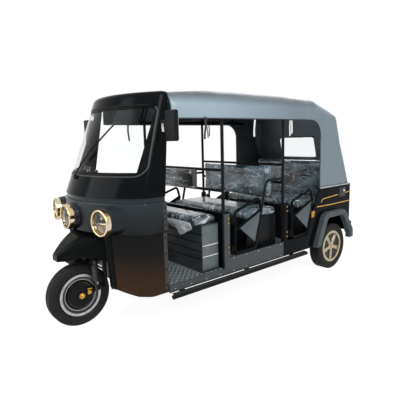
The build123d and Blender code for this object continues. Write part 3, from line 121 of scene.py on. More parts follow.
def blank_material(name):
    """A new material, its tree and the Object coordinates in it."""
    material = bpy.data.materials.new(name)
    material.use_nodes = True
    tree = material.node_tree
    tree.nodes.clear()
    return material, tree, add_node(tree, "ShaderNodeTexCoord").outputs["Object"]


def coat(tree, values, links):
    """End a material's tree in one Principled shader."""
    shader = add_node(tree, "ShaderNodeBsdfPrincipled", values, links)
    add_node(tree, "ShaderNodeOutputMaterial", links={"Surface": shader.outputs["BSDF"]})


def two_tone(tree, place, look, stops, shades):
    """Two colours that drift into each other over a noise: the noise and the colour."""
    patch = add_node(tree, "ShaderNodeTexNoise", look, {"Vector": place})
    drift = add_node(tree, "ShaderNodeValToRGB", links={"Fac": patch.outputs["Fac"]})
    for knot, position, shade in zip(drift.color_ramp.elements, stops, shades):
        knot.position = position
        knot.color = shade
    return patch.outputs["Fac"], drift.outputs["Color"]


def between(tree, place, axis, start, end, least=0.0):
    """A value that goes from the least to 1 between two places along an axis."""
    where = add_node(tree, "ShaderNodeSeparateXYZ", links={"Vector": place}).outputs[axis]
    limits = {"From Min": start, "From Max": end, "To Min": least}
    return add_node(tree, "ShaderNodeMapRange", limits, {"Value": where}).outputs["Result"]


def surface(name, base, worn, rough, patch_mm, grain_mm, relief_mm, fade=None, **values):
    """A finish whose colour and gloss drift over patches, with a fine relief and a painted reflection that fades in
    along the height.
    """
    material, tree, place = blank_material(name)
    look = {"Scale": 1 / (patch_mm * MM), "Detail": 5.0, "Roughness": 0.62}
    patch, hue = two_tone(tree, place, look, (0.35, 0.78), (base, worn))
    # The fade mixes a painted reflection into the colour along the height.
    if fade:
        start, end, painted_reflection = fade
        links = {"Factor": between(tree, place, "Z", start, end), "A": hue}
        hue = add_node(tree, "ShaderNodeMix", {"B": painted_reflection}, links, data_type="RGBA").outputs["Result"]
    ends = {"From Min": 0.3, "From Max": 0.75, "To Min": rough[0], "To Max": rough[1]}
    gloss = add_node(tree, "ShaderNodeMapRange", ends, {"Value": patch}).outputs["Result"]
    look = {"Scale": 1 / (grain_mm * MM), "Detail": 2.0}
    grain = add_node(tree, "ShaderNodeTexNoise", look, {"Vector": place}).outputs["Fac"]
    look = {"Strength": 1.0, "Distance": relief_mm * MM}
    relief = add_node(tree, "ShaderNodeBump", look, {"Height": grain}).outputs["Normal"]
    coat(tree, values, {"Base Color": hue, "Roughness": gloss, "Normal": relief})
    return material


def chequer_mat(name, base, light, tile_mm, fleck_mm):
    """Moulded rubber mat: small raised squares, with pale flecks in black, dull with a little scuffing."""
    material, tree, place = blank_material(name)
    tiles = add_node(tree, "ShaderNodeTexChecker", {"Scale": 1 / (tile_mm * MM)}, {"Vector": place}).outputs["Fac"]
    fleck = add_node(tree, "ShaderNodeTexNoise", {"Scale": 1 / (fleck_mm * MM), "Detail": 3.0}, {"Vector": place})
    links = {0: tiles, 2: fleck.outputs["Fac"]}
    share = add_node(tree, "ShaderNodeMath", {1: 0.16}, links, operation="MULTIPLY_ADD").outputs[0]
    for sign in (1, -1):
        level = between(tree, place, "Z", FLOOR_TOP + sign * 0.006, FLOOR_TOP + sign * 0.002)
        share = add_node(tree, "ShaderNodeMath", links={0: share, 1: level}, operation="MULTIPLY").outputs[0]
    hue = add_node(tree, "ShaderNodeValToRGB", links={"Fac": share})
    for knot, position, shade in zip(hue.color_ramp.elements, (0.48, 0.74), (base, light)):
        knot.position = position
        knot.color = shade
    relief = add_node(tree, "ShaderNodeBump", {"Strength": 0.6, "Distance": 2 * MM}, {"Height": tiles})
    coat(tree, {"Roughness": 0.6}, {"Base Color": hue.outputs["Color"], "Normal": relief.outputs["Normal"]})
    return material


# Where the painted highlight on the valance starts and is full.
PAINTED_HIGHLIGHT_X, PAINTED_HIGHLIGHT_Y, PAINTED_HIGHLIGHT_Z = (-0.55, 0.35), (-0.4, 0.3), (1.79, 1.71)


def coated_cloth(name, base, worn, painted_highlight, thread_mm):
    """Vinyl-coated canopy cloth: a crossed weave, a soft sheen, greyer where rubbed, with a painted pale highlight
    low on one valance.
    """
    material, tree, place = blank_material(name)
    look = {"Scale": 1 / (160 * MM), "Detail": 6.0, "Roughness": 0.65}
    hue = two_tone(tree, place, look, (0.36, 0.8), (base, worn))[1]
    # Painted highlight: lighter low on the left side of the canopy, most at the front.
    share = between(tree, place, "Z", *PAINTED_HIGHLIGHT_Z)
    for part in (between(tree, place, "X", *PAINTED_HIGHLIGHT_X, 0.5), between(tree, place, "Y", *PAINTED_HIGHLIGHT_Y)):
        share = add_node(tree, "ShaderNodeMath", links={0: share, 1: part}, operation="MULTIPLY").outputs[0]
    hue = add_node(tree, "ShaderNodeMix", {"B": painted_highlight}, {"Factor": share, "A": hue}, data_type="RGBA")
    look = {"Scale": 1 / (thread_mm * MM), "Randomness": 0.1}
    weave = add_node(tree, "ShaderNodeTexVoronoi", look, {"Vector": place}).outputs["Distance"]
    slack = add_node(tree, "ShaderNodeTexNoise", {"Scale": 1 / (45 * MM), "Detail": 3.0}, {"Vector": place})
    fine = add_node(tree, "ShaderNodeBump", {"Strength": 0.5, "Distance": 0.5 * MM}, {"Height": weave})
    links = {"Height": slack.outputs["Fac"], "Normal": fine.outputs["Normal"]}
    broad = add_node(tree, "ShaderNodeBump", {"Strength": 0.55, "Distance": 6 * MM}, links)
    sheen = {"Sheen Weight": 0.25, "Sheen Roughness": 0.5, "Sheen Tint": linear("AEB8C8")}
    links = {"Base Color": hue.outputs["Result"], "Normal": broad.outputs["Normal"]}
    coat(tree, {"Roughness": 0.46, **sheen}, links)
    return material


# How much of the painted white highlight a fold shows at its middle.
GLINT_SHARE = 0.6


def wrapped_vinyl(name, base, painted_reflection_colour, film, stops, stretch):
    """Black vinyl still in its clear wrapping film: glossy, with a painted grey-blue reflection over broad patches
    and thin painted white highlights along the creases.
    """
    material, tree, place = blank_material(name)
    turn = {"Rotation": (0.12, 0.08, 0.3), "Scale": stretch}
    drawn = add_node(tree, "ShaderNodeMapping", turn, {"Vector": place}).outputs["Vector"]
    look = {"Scale": 1 / (260 * MM), "Detail": 2.0, "Roughness": 0.45, "Distortion": 1.2}
    folds = add_node(tree, "ShaderNodeTexNoise", look, {"Vector": drawn}).outputs["Fac"]
    painted_reflection_hue = two_tone(tree, drawn, {"Scale": 1 / (380 * MM), "Detail": 2.0}, stops, (base, painted_reflection_colour))[1]
    # Painted white highlights along the folds of the film.
    painted_glint_mask = add_node(tree, "ShaderNodeValToRGB", links={"Fac": folds})
    ramp = painted_glint_mask.color_ramp.elements
    ramp.new(0.5)
    for knot, aside, shade in zip(ramp, (-stops[2], 0, stops[2]), (0.0, GLINT_SHARE, 0.0)):
        knot.position = 0.5 + aside
        knot.color = (shade, shade, shade, 1)
    links = {"Factor": painted_glint_mask.outputs["Color"], "A": painted_reflection_hue}
    hue = add_node(tree, "ShaderNodeMix", {"B": film}, links, data_type="RGBA").outputs["Result"]
    ends = {"From Min": 0.3, "From Max": 0.9, "To Min": 0.22, "To Max": 0.42}
    gloss = add_node(tree, "ShaderNodeMapRange", ends, {"Value": folds}).outputs["Result"]
    look = {"Strength": 0.7, "Distance": 5 * MM}
    relief = add_node(tree, "ShaderNodeBump", look, {"Height": folds}).outputs["Normal"]
    links = {"Base Color": hue, "Roughness": gloss, "Normal": relief}
    coat(tree, {"Coat Weight": 0.7, "Coat Roughness": 0.12}, links)
    return material


def clear_pane(name, tint, rough, smear_mm, bend):
    """Clear glass or film, with a faint smear that breaks up its gloss."""
    material, tree, place = blank_material(name)
    smear = add_node(tree, "ShaderNodeTexNoise", {"Scale": 1 / (smear_mm * MM), "Detail": 3.0}, {"Vector": place})
    ends = {"To Min": rough * 0.5, "To Max": rough * 1.8}
    gloss = add_node(tree, "ShaderNodeMapRange", ends, {"Value": smear.outputs["Fac"]})
    values = {"Base Color": tint, "Transmission Weight": 1.0, "IOR": bend}
    coat(tree, values, {"Roughness": gloss.outputs["Result"]})
    return material


# The finished materials by the name of the finish.
FINISH = {}
FINISHES = [
    # finish, material, colour, worn colour, roughness from and to, patch mm, grain mm, relief mm, more
    # Gloss enamel on pressed steel: deep black, mirror-like, with a trace of orange peel and dust.
    ("body_paint", "gloss_black_enamel", "body", "0A0D10", (0.10, 0.20), 260, 9, 0.04,
     {"Specular IOR Level": 0.04}),
    # The same enamel on the mudguard, dulled by road dirt so that it hardly mirrors.
    ("guard_paint", "dulled_black_enamel", "040606", "0A0C0D", (0.30, 0.45), 120, 9, 0.04,
     {"Specular IOR Level": 0.05}),
    # The same enamel low on the cab: it turns brown towards the bottom, a painted reflection of the ground.
    ("dusty_paint", "dusty_black_enamel", "body", "0F0E0D", (0.10, 0.22), 200, 9, 0.04,
     {"fade": (0.64, 0.40, linear("2A1C11")), "Specular IOR Level": 0.08}),
    # The same enamel on the lamp band: its upper side holds a painted grey-blue reflection.
    ("band_paint", "bloomed_black_enamel", "body", "0F1215", (0.18, 0.30), 200, 9, 0.04,
     {"fade": (0.80, 1.0, linear("20262A")), "Specular IOR Level": 0.16}),
    # Powder coat on steel tube: satin black with a fine pebble.
    ("frame_paint", "black_powder_coat", "frame_black", "131517", (0.26, 0.42), 90, 2, 0.08,
     {"Specular IOR Level": 0.09}),
    # Satin paint over pressed sheet: the black door plates drawn mid grey with a soft gleam, a painted reflection.
    ("door_grey", "satin_door_paint", "3A4145", "4C5458", (0.3, 0.42), 90, 3, 0.05, {"Metallic": 0.2}),
    # Satin paint over rolled sheet: soft grey-green, a little chalky.
    ("skirt_paint", "satin_sill_paint", "skirt", "2A3133", (0.32, 0.5), 140, 4, 0.06, {}),
    # Moulded polypropylene: dark grey with a leather grain that holds dust.
    ("flare_plastic", "grained_polypropylene", "flare", "454C50", (0.42, 0.6), 70, 3, 0.25,
     {"Specular IOR Level": 0.3}),
    # Moulded ABS: black with a tight grain.
    ("dash_plastic", "grained_abs", "141416", "1F2022", (0.45, 0.6), 60, 2.5, 0.2, {}),
    # Chromed pressing: bright mirror with a faint warm haze.
    ("lamp_chrome", "chrome_plate", "DAD5CB", "C9C0AE", (0.05, 0.12), 60, 14, 0.05, {"Metallic": 1.0}),
    # Plated lamp ring: bright mirror that drifts from silver to champagne gold, the gold a painted reflection.
    ("bezel_chrome", "champagne_chrome", "D8B25C", "C9CED2", (0.05, 0.12), 90, 14, 0.05, {"Metallic": 1.0}),
    # Smoked reflector: dark brown mirror.
    ("dark_chrome", "smoked_reflector", "15120F", "2A231C", (0.08, 0.16), 50, 14, 0.05, {"Metallic": 1.0}),
    # Gloss black lacquer on pressed steel: deep, with road dust.
    ("rim_black", "black_rim_lacquer", "100D0B", "1F1B18", (0.14, 0.30), 50, 4, 0.05, {"Specular IOR Level": 0.4}),
    # Satin paint over folded sheet: slate grey with a soft gleam.
    ("box_grey", "satin_slate_paint", "22272A", "30363A", (0.3, 0.45), 110, 3, 0.05, {}),
    # The seat box's sides: pale blue-grey with soft spangle, lighter than its front: painted light falling on them.
    ("side_grey", "galvanised_sheet", "484F53", "565E63", (0.35, 0.5), 40, 3, 0.05, {"Metallic": 0.2}),
    # Silver lacquer on pressed steel: soft metallic with brake dust.
    ("rim_steel", "silver_rim_lacquer", "B4B6B8", "7E7F80", (0.28, 0.45), 50, 2, 0.06, {"Metallic": 0.85}),
    # Machined aluminium casting under a warm lacquer.
    ("rim_alloy", "cast_alloy", "alloy", "857B66", (0.2, 0.36), 60, 2, 0.06, {"Metallic": 0.95}),
    # Bare and painted iron castings: dark, rough, oily in patches.
    ("drive_metal", "cast_iron", "2C2D2F", "4B4A47", (0.45, 0.7), 40, 3, 0.4, {"Metallic": 0.5}),
    # Rolled spring steel in black paint, rubbed at the edges.
    ("spring_steel", "spring_steel", "1D1E20", "3A3937", (0.4, 0.6), 50, 3, 0.15, {"Metallic": 0.3}),
    # Rotomoulded case: dark and dull.
    ("battery_case", "battery_case", "1E2124", "2C3034", (0.5, 0.65), 80, 4, 0.3, {}),
    # Tyre rubber: near black, dull, greyed by dust.
    ("tyre", "tyre_rubber", "0C0C0C", "1C1A18", (0.55, 0.8), 55, 2, 0.25, {"Specular IOR Level": 0.2}),
    # Moulded acrylic lamp cover: clear red over small prisms.
    ("tail_red", "red_acrylic", "9A0C10", "C2181A", (0.1, 0.2), 25, 5, 0.6, {"Coat Weight": 0.6}),
    # Moulded acrylic: clear amber over small prisms.
    ("amber", "amber_acrylic", "4A2C0E", "8A5A20", (0.1, 0.2), 25, 5, 0.6, {"Coat Weight": 0.6}),
    # Yellow-passivated zinc: golden, a little iridescent and uneven.
    ("gold", "yellow_zinc", "gold", "A87A3E", (0.25, 0.4), 18, 2, 0.06, {"Metallic": 0.9}),
    # Gold vinyl tape: flat metallic gold with a smooth sheen.
    ("gold_tape", "gold_tape", "gold", "D9AE5B", (0.25, 0.36), 60, 3, 0.03, {"Metallic": 0.55}),
    # Extruded rubber: black and dull.
    ("dark_rubber", "black_rubber", "111213", "1D1E1F", (0.5, 0.7), 40, 2, 0.1, {}),
    # Silvered glass with a trace of dust.
    ("mirror", "mirror_glass", "D8DDDF", "C6CBCD", (0.02, 0.06), 80, 10, 0.01, {"Metallic": 1.0}),
    # Woven polyester strap: off-white with a ribbed weave.
    ("webbing_white", "white_webbing", "D9DAD8", "B9B9B5", (0.7, 0.85), 12, 1.5, 0.3, {}),
    # Woven polyester strap: black with a ribbed weave.
    ("webbing_black", "black_webbing", "17181A", "26272A", (0.7, 0.85), 12, 1.5, 0.3, {}),
    # Blank number plate: painted aluminium. Its white also makes the painted highlights on the seat box and the cab
    # pillars.
    ("plate", "blank_plate", "D8D8D4", "C6C5BE", (0.3, 0.4), 90, 3, 0.03, {}),
    # Creased packing film: half clear, with a soft gloss; its milky white is partly the film's own haze and partly
    # a painted highlight.
    ("milky_film", "milky_packing_film", "E6EAEC", "C3CACE", (0.2, 0.4), 30, 12, 0.8,
     {"Transmission Weight": 0.35}),
]
WRAPPED = [
    # finish, material, where the painted reflection starts and is full and half the width of a painted highlight,
    # stretch of the folds
    ("cushion_film", "film_over_cushion", (0.38, 0.64, 0.022), (1, 2.6, 1)),
    ("seat_vinyl", "film_wrapped_vinyl", (0.36, 0.62, 0.016), (1, 1.3, 2.6)),
    ("streaked_vinyl", "streaked_vinyl", (0.45, 0.75, 0.016), (1, 0.6, 4)),
]
PANES = [
    # finish, material, tint, roughness, smear mm, IOR
    ("screen_glass", "laminated_glass", "FBFDFC", 0.02, 220, 1.10),
    ("lamp_glass", "lamp_glass", "F6F4EE", 0.02, 40, 1.25),
    ("film", "wrapping_film", "F4F5F6", 0.16, 30, 1.2),
]


def make_finishes(hues):
    """Make all the finishes and keep them by name."""

    def shade(text):
        """A colour by its name in the panel or by its hex text."""
        return getattr(hues, text) if text in RickshawColours.__annotations__ else linear(text)

    for finish, material, base, worn, *sizes, more in FINISHES:
        FINISH[finish] = surface(material, shade(base), shade(worn), *sizes, **more)
    FINISH["floor_mat"] = chequer_mat("rubber_floor_mat", hues.mat, linear("7E878B"), 26, 14)
    FINISH["canopy_vinyl"] = coated_cloth("coated_canopy_cloth", hues.canopy, linear("3A4248"), linear("7A8A93"), 4)
    # The grey-blue and the near white are a painted reflection and painted highlights on the film.
    for finish, material, stops, stretch in WRAPPED:
        FINISH[finish] = wrapped_vinyl(material, hues.seat, linear("5C6E77"), linear("DDE3E6"), stops, stretch)
    for finish, material, tint, *look in PANES:
        FINISH[finish] = clear_pane(material, linear(tint), *look)


def round_edges(bm, edges, size, segments):
    """Round some edges of a mesh."""
    look = {"profile": 0.5, "affect": "EDGES", "material": -1, "clamp_overlap": True}
    bmesh.ops.bevel(bm, geom=edges, offset=size, segments=segments, **look)


def box_of(bm, low, high, bevel=0.0, segments=2):
    """Add a box between two corners, with its edges rounded."""
    low, high = Vector(low), Vector(high)
    made = bmesh.ops.create_cube(bm, size=1)["verts"]
    bmesh.ops.scale(bm, vec=high - low, verts=made)
    bmesh.ops.translate(bm, vec=(low + high) / 2, verts=made)
    if bevel:
        round_edges(bm, list({edge for vert in made for edge in vert.link_edges}), bevel, segments)


def lathe(bm, outline, centre, axis, steps=32, closed=False):
    """Spin an outline of (along, radius) points about an axis through the centre."""
    centre, axis = Vector(centre), Vector(axis).normalized()
    side = axis.orthogonal().normalized()
    ring = [bm.verts.new(centre + axis * along + side * radius) for along, radius in outline]
    pairs = list(zip(ring, ring[1:])) + ([(ring[-1], ring[0])] if closed else [])
    edges = [bm.edges.new(pair) for pair in pairs]
    bmesh.ops.spin(bm, geom=ring + edges, cent=centre, axis=axis, angle=math.tau, steps=steps, use_merge=True)
    bmesh.ops.remove_doubles(bm, verts=bm.verts, dist=1e-5)
    bmesh.ops.recalc_face_normals(bm, faces=bm.faces)


def sweep(bm, points, radius, closed=False, smooth=True, around=3):
    """Sweep a round section along points."""
    curve = bpy.data.curves.new("sweep", "CURVE")
    curve.dimensions = "3D"
    curve.bevel_depth = radius
    curve.bevel_resolution = around
    curve.use_fill_caps = not closed
    line = curve.splines.new("NURBS" if smooth else "POLY")
    line.points.add(len(points) - 1)
    for knot, place in zip(line.points, points):
        knot.co = (*place, 1)
    line.use_cyclic_u = closed
    line.order_u = 3
    line.use_endpoint_u = not closed
    carrier = bpy.data.objects.new("sweep", curve)
    mesh = bpy.data.meshes.new_from_object(carrier)
    bm.from_mesh(mesh)
    bpy.data.objects.remove(carrier)
    bpy.data.meshes.remove(mesh)
    bpy.data.curves.remove(curve)


def slice_mesh(bm, spot, way, **how):
    """Cut all of a mesh along a plane."""
    whole = bm.verts[:] + bm.edges[:] + bm.faces[:]
    return bmesh.ops.bisect_plane(bm, geom=whole, plane_co=spot, plane_no=way, **how)


def clamped(share):
    """A share kept between 0 and 1."""
    return min(1.0, max(0.0, share))


def span(side, near, far):
    """Two distances out from the middle, as rising places on one side."""
    return sorted((side * near, side * far))


def grid_cuts(bm, low, high, step):
    """Cut the mesh into a grid by planes square to the axes."""
    for axis in range(3):
        count = max(1, round((high[axis] - low[axis]) / step))
        for k in range(1, count):
            spot, way = Vector(), Vector()
            spot[axis] = low[axis] + (high[axis] - low[axis]) * k / count
            way[axis] = 1
            slice_mesh(bm, spot, way, dist=CUT_SNAP)


def cut_hole(bm, planes, keep=lambda place: False):
    """Cut along planes that face out of a hole, and drop the faces inside all of them."""
    for spot, way in planes:
        slice_mesh(bm, spot, way, dist=CUT_SNAP)
    gone = []
    for face in bm.faces:
        middle = face.calc_center_median()
        if not keep(middle) and all((middle - Vector(spot)).dot(Vector(way)) < 0 for spot, way in planes):
            gone.append(face)
    bmesh.ops.delete(bm, geom=gone, context="FACES")


def open_edges(bm):
    """The open edges of a sheet as ordered runs of places, each with whether it closes on itself."""
    bm.edges.index_update()
    left = {edge for edge in bm.edges if edge.is_boundary}
    runs = []
    while left:
        edge = min(left, key=lambda each: each.index)
        left.discard(edge)
        start, vert = edge.verts
        run = [start.co.copy(), vert.co.copy()]
        while vert is not start:
            ahead = (run[-1] - run[-2]).normalized()
            ways = [each for each in vert.link_edges if each in left]
            if not ways:
                break
            edge = max(ways, key=lambda each: (each.other_vert(vert).co - vert.co).normalized().dot(ahead))
            left.discard(edge)
            vert = edge.other_vert(vert)
            run.append(vert.co.copy())
        runs.append((run[:-1] if vert is start else run, vert is start))
    return runs


def piece(name, bm, body, finish, smooth=35, levels=0):
    """Make an object of the mesh, give it its finish and let it ride on a body."""
    mesh = bpy.data.meshes.new(name)
    bm.to_mesh(mesh)
    bm.free()
    for face in mesh.polygons:
        face.use_smooth = True
    mesh.set_sharp_from_angle(angle=math.radians(smooth))
    thing = bpy.data.objects.new(name, mesh)
    bpy.context.collection.objects.link(thing)
    mesh.materials.append(FINISH[finish])
    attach(thing, body)
    if levels:
        rounding = thing.modifiers.new("Rounding", "SUBSURF")
        rounding.levels = levels
        rounding.render_levels = levels
    return thing


def thicken(thing, depth):
    """Give a sheet its thickness, inward from its face."""
    wall = thing.modifiers.new("Thickness", "SOLIDIFY")
    wall.thickness = depth
    wall.offset = -1


def merge_in(target, part, matrix=Matrix()):
    """Move a small mesh into place and add it to a larger one."""
    bmesh.ops.transform(part, matrix=matrix, verts=part.verts)
    mesh = bpy.data.meshes.new("part")
    part.to_mesh(mesh)
    part.free()
    target.from_mesh(mesh)
    bpy.data.meshes.remove(mesh)


def by_sight(tree, unseen, seen):
    """A value for what lights the scene, and another for what is seen straight, mirrored or through glass."""
    rays = add_node(tree, "ShaderNodeLightPath").outputs
    shown = rays["Is Camera Ray"]
    for ray in ("Is Glossy Ray", "Is Transmission Ray"):
        shown = add_node(tree, "ShaderNodeMath", links={0: shown, 1: rays[ray]}, operation="MAXIMUM").outputs[0]
    ends = {"To Min": unseen, "To Max": seen}
    return add_node(tree, "ShaderNodeMapRange", ends, {"Value": shown}).outputs["Result"]


LIGHTS = [
    # name, place, size, watts
    ("key", (2.5, 4.5, 5.0), 4.0, 420),
    ("fill", (5.5, -1.5, 3.0), 4.0, 160),
    ("rear", (-4.5, -2.0, 4.5), 4.0, 160),
]
LIGHT_AIM = Vector((0, 0, 0.8))
CAMERA_LENS, CAMERA_SENSOR = 35.65, 36
CAMERA_PLACE = (POST_X + 1.620, 2.962, 1.447)
CAMERA_AXES = [
    # right, up and back
    (-0.76917, 0.63852, -0.02571),
    (-0.11735, -0.10159, 0.98788),
    (0.62817, 0.76287, 0.15307),
]


class RICKSHAW_OT_stage(bpy.types.Operator):
    """Set the floor, the soft light and the camera"""

    bl_idname = "rickshaw.stage"
    bl_label = "Stage"

    def execute(self, context):
        scene = context.scene
        scene.view_settings.view_transform = "Standard"
        world = bpy.data.worlds.new("studio")
        scene.world = world
        world.use_nodes = True
        tree = world.node_tree
        tree.nodes.clear()
        white = (1, 1, 1, 1)
        sky = add_node(tree, "ShaderNodeBackground", {"Color": white}, {"Strength": by_sight(tree, 0.5, 1.0)})
        add_node(tree, "ShaderNodeOutputWorld", links={"Surface": sky.outputs[0]})

        bm = bmesh.new()
        bmesh.ops.create_grid(bm, x_segments=1, y_segments=1, size=40)
        mesh = bpy.data.meshes.new("floor")
        bm.to_mesh(mesh)
        bm.free()
        floor = bpy.data.objects.new("floor", mesh)
        context.collection.objects.link(floor)
        paper = bpy.data.materials.new("white_paper")
        paper.use_nodes = True
        tree = paper.node_tree
        tree.nodes.clear()
        matt = add_node(tree, "ShaderNodeBsdfDiffuse", {"Color": linear("F7F7F7")})
        glow = add_node(tree, "ShaderNodeEmission", {"Color": white, "Strength": 1.16})
        ends = {0: by_sight(tree, 0.0, 0.8), 1: matt.outputs[0], 2: glow.outputs[0]}
        both = add_node(tree, "ShaderNodeMixShader", links=ends)
        add_node(tree, "ShaderNodeOutputMaterial", links={"Surface": both.outputs[0]})
        mesh.materials.append(paper)

        for name, place, size, watts in LIGHTS:
            lamp = bpy.data.lights.new(name, "AREA")
            lamp.shape = "DISK"
            lamp.size = size
            lamp.energy = watts
            holder = bpy.data.objects.new(name, lamp)
            holder.location = place
            aim = LIGHT_AIM - Vector(place)
            holder.rotation_euler = aim.to_track_quat("-Z", "Y").to_euler()
            context.collection.objects.link(holder)

        data = bpy.data.cameras.new("camera")
        data.sensor_width = CAMERA_SENSOR
        data.lens = CAMERA_LENS
        camera = bpy.data.objects.new("camera", data)
        camera.matrix_world = Matrix.Translation(CAMERA_PLACE) @ Matrix(CAMERA_AXES).transposed().to_4x4()
        context.collection.objects.link(camera)
        scene.camera = camera
        return {"FINISHED"}


COATS = {
    "body_paint": [
        "cab_front", "quarter_panels", "tail_panel", "partition", "door_hinges",
        "middle_door_left", "middle_door_right", "rear_door_left", "rear_door_right",
    ],
    "frame_paint": [
        "chassis_frame", "side_posts", "back_rails", "roof_rails", "roof_bows", "grab_tubes", "rear_bumper",
        "mirrors", "middle_seat_base", "rear_seat_base", "handlebar", "fork", "front_link", "side_steps",
    ],
    "guard_paint": ["front_mudguard"],
    "dusty_paint": ["leg_shields"],
    "band_paint": ["front_cowl"],
    "skirt_paint": ["skirts"],
    "box_grey": ["driver_seat_box"],
    "flare_plastic": ["fender_flares"],
    "dash_plastic": ["dashboard"],
    "bezel_chrome": ["headlamp_bezels"],
    "rim_black": ["front_rim"],
    "rim_alloy": ["rear_rim_left", "rear_rim_right"],
    "drive_metal": ["rear_axle"],
    "spring_steel": ["rear_springs", "front_shocks"],
    "battery_case": ["traction_battery"],
    "tail_red": ["tail_lamps"],
    "screen_glass": ["windscreen"],
    "floor_mat": ["floor_pan"],
}


class RICKSHAW_OT_coats(bpy.types.Operator):
    """Make the finishes and put them on the CAD pieces"""

    bl_idname = "rickshaw.coats"
    bl_label = "Finishes"

    def execute(self, context):
        make_finishes(context.scene.rickshaw_colours)
        for finish, nodes in COATS.items():
            for node in nodes:
                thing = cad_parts[node]
                if not thing.material_slots:
                    thing.data.materials.append(FINISH[finish])
                for slot in thing.material_slots:
                    slot.material = FINISH[finish]
        return {"FINISHED"}


TYRES = {"front_tyre": "front_wheel", "rear_tyre_left": "rear_wheel_left", "rear_tyre_right": "rear_wheel_right"}
TYRE_BEAD = 0.160
TREAD_STEPS = 84
TREAD_HALF = 0.40
TREAD_RISE = 0.94
TREAD_SLOPE = 0.0022
TYRE_SIDE = [
    # share of the width, share of the tyre's height above the bead
    (0.30, 0.00), (0.38, 0.10), (0.43, 0.20), (0.475, 0.36), (0.487, 0.40), (0.497, 0.53), (0.487, 0.70),
    (0.462, 0.84), (0.43, 0.915), (TREAD_HALF, TREAD_RISE), (0.24, TREAD_RISE), (0.08, TREAD_RISE),
]
TYRE_OUTLINE = [(-share, rise) for share, rise in TYRE_SIDE] + TYRE_SIDE[::-1]


class RICKSHAW_OT_tyres(bpy.types.Operator):
    """Turn the tyres and raise their tread blocks"""

    bl_idname = "rickshaw.tyres"
    bl_label = "Tyres"

    def execute(self, context):
        depth = context.scene.rickshaw_sizes.tread_depth
        for node, body in TYRES.items():
            low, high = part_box(node)
            centre, wide = (low + high) / 2, high.y - low.y
            outer = (high.z - low.z) / 2
            crown = (outer - depth - TYRE_BEAD) / TREAD_RISE
            outline = [(share * wide, TYRE_BEAD + rise * crown) for share, rise in TYRE_OUTLINE]
            bm = bmesh.new()
            lathe(bm, outline, centre, (0, 1, 0), TREAD_STEPS, closed=True)
            blocks = [
                face
                for face in bm.faces
                if abs(face.calc_center_median().y - centre.y) < TREAD_HALF * wide
                and (face.calc_center_median() - centre).length > outer - 2.2 * depth
            ]
            bmesh.ops.inset_individual(bm, faces=blocks, thickness=TREAD_SLOPE, depth=depth)
            tyre = piece(f"tread_{node}", bm, body, "tyre", 30)
            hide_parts(node)
        return {"FINISHED"}


LAMP_Z = 0.880
LAMP_RING = 0.096
LAMP_INNER = 0.081
LAMPS = [
    # ahead of the cab post, side, degrees turned outward
    (0.529, 0.0, 0),
    (0.451, 0.424, 10),
    (0.451, -0.424, -10),
]
LAMP_BOWL = -0.066
BOWL_OUTLINE = [
    (0, 0.001), (0.004, 0.030), (0.018, 0.062), (0.040, LAMP_INNER - 0.002),
    (0.036, LAMP_INNER - 0.001), (0.0, 0.060), (-0.004, 0.001),
]
CAP_OUTLINE = [
    (-0.01, 0.001), (-0.01, 0.034), (0.016, 0.034), (0.020, 0.030),
    (0.020, 0.025), (0.014, 0.024), (0.024, 0.012), (0.027, 0.001),
]
DOT_OUTLINE = [(0.0, 0.0005), (0.0, 0.010), (0.003, 0.008), (0.004, 0.0005)]
BAR_HALF = LAMP_INNER * 0.93
AMBER_TOP = -0.014
AMBER_OUTLINE = [
    (0.012, 0.0005), (0.012, 0.030), (0.024, 0.060), (0.030, LAMP_INNER - 0.006),
    (0.034, LAMP_INNER - 0.006), (0.029, 0.060), (0.018, 0.030), (0.017, 0.0005),
]
DOME_OUTLINE = [
    (0, LAMP_INNER), (0.004, LAMP_INNER * 0.9), (0.010, LAMP_INNER * 0.6), (0.013, LAMP_INNER * 0.3),
    (0.014, 0.0005), (0.0115, 0.0005), (0.0105, LAMP_INNER * 0.3), (0.0075, LAMP_INNER * 0.6),
    (0.0015, LAMP_INNER * 0.9), (-0.002, LAMP_INNER * 0.985),
]
RING_OUTLINE = [
    (-0.009 + 0.004 * math.cos(math.tau * k / 8), LAMP_RING - 0.0035 + 0.004 * math.sin(math.tau * k / 8))
    for k in range(8)
]
LAMP_COATS = [
    # part, finish, slot
    ("projectors", "dash_plastic", "dash_plastic"),
    ("dots", "plate", "lamp_chrome"),
    ("bars", "lamp_chrome", "lamp_chrome"),
    ("ambers", "amber", "lamp_glass"),
    ("domes", "lamp_glass", "lamp_glass"),
    ("rings", "gold", "lamp_chrome"),
]


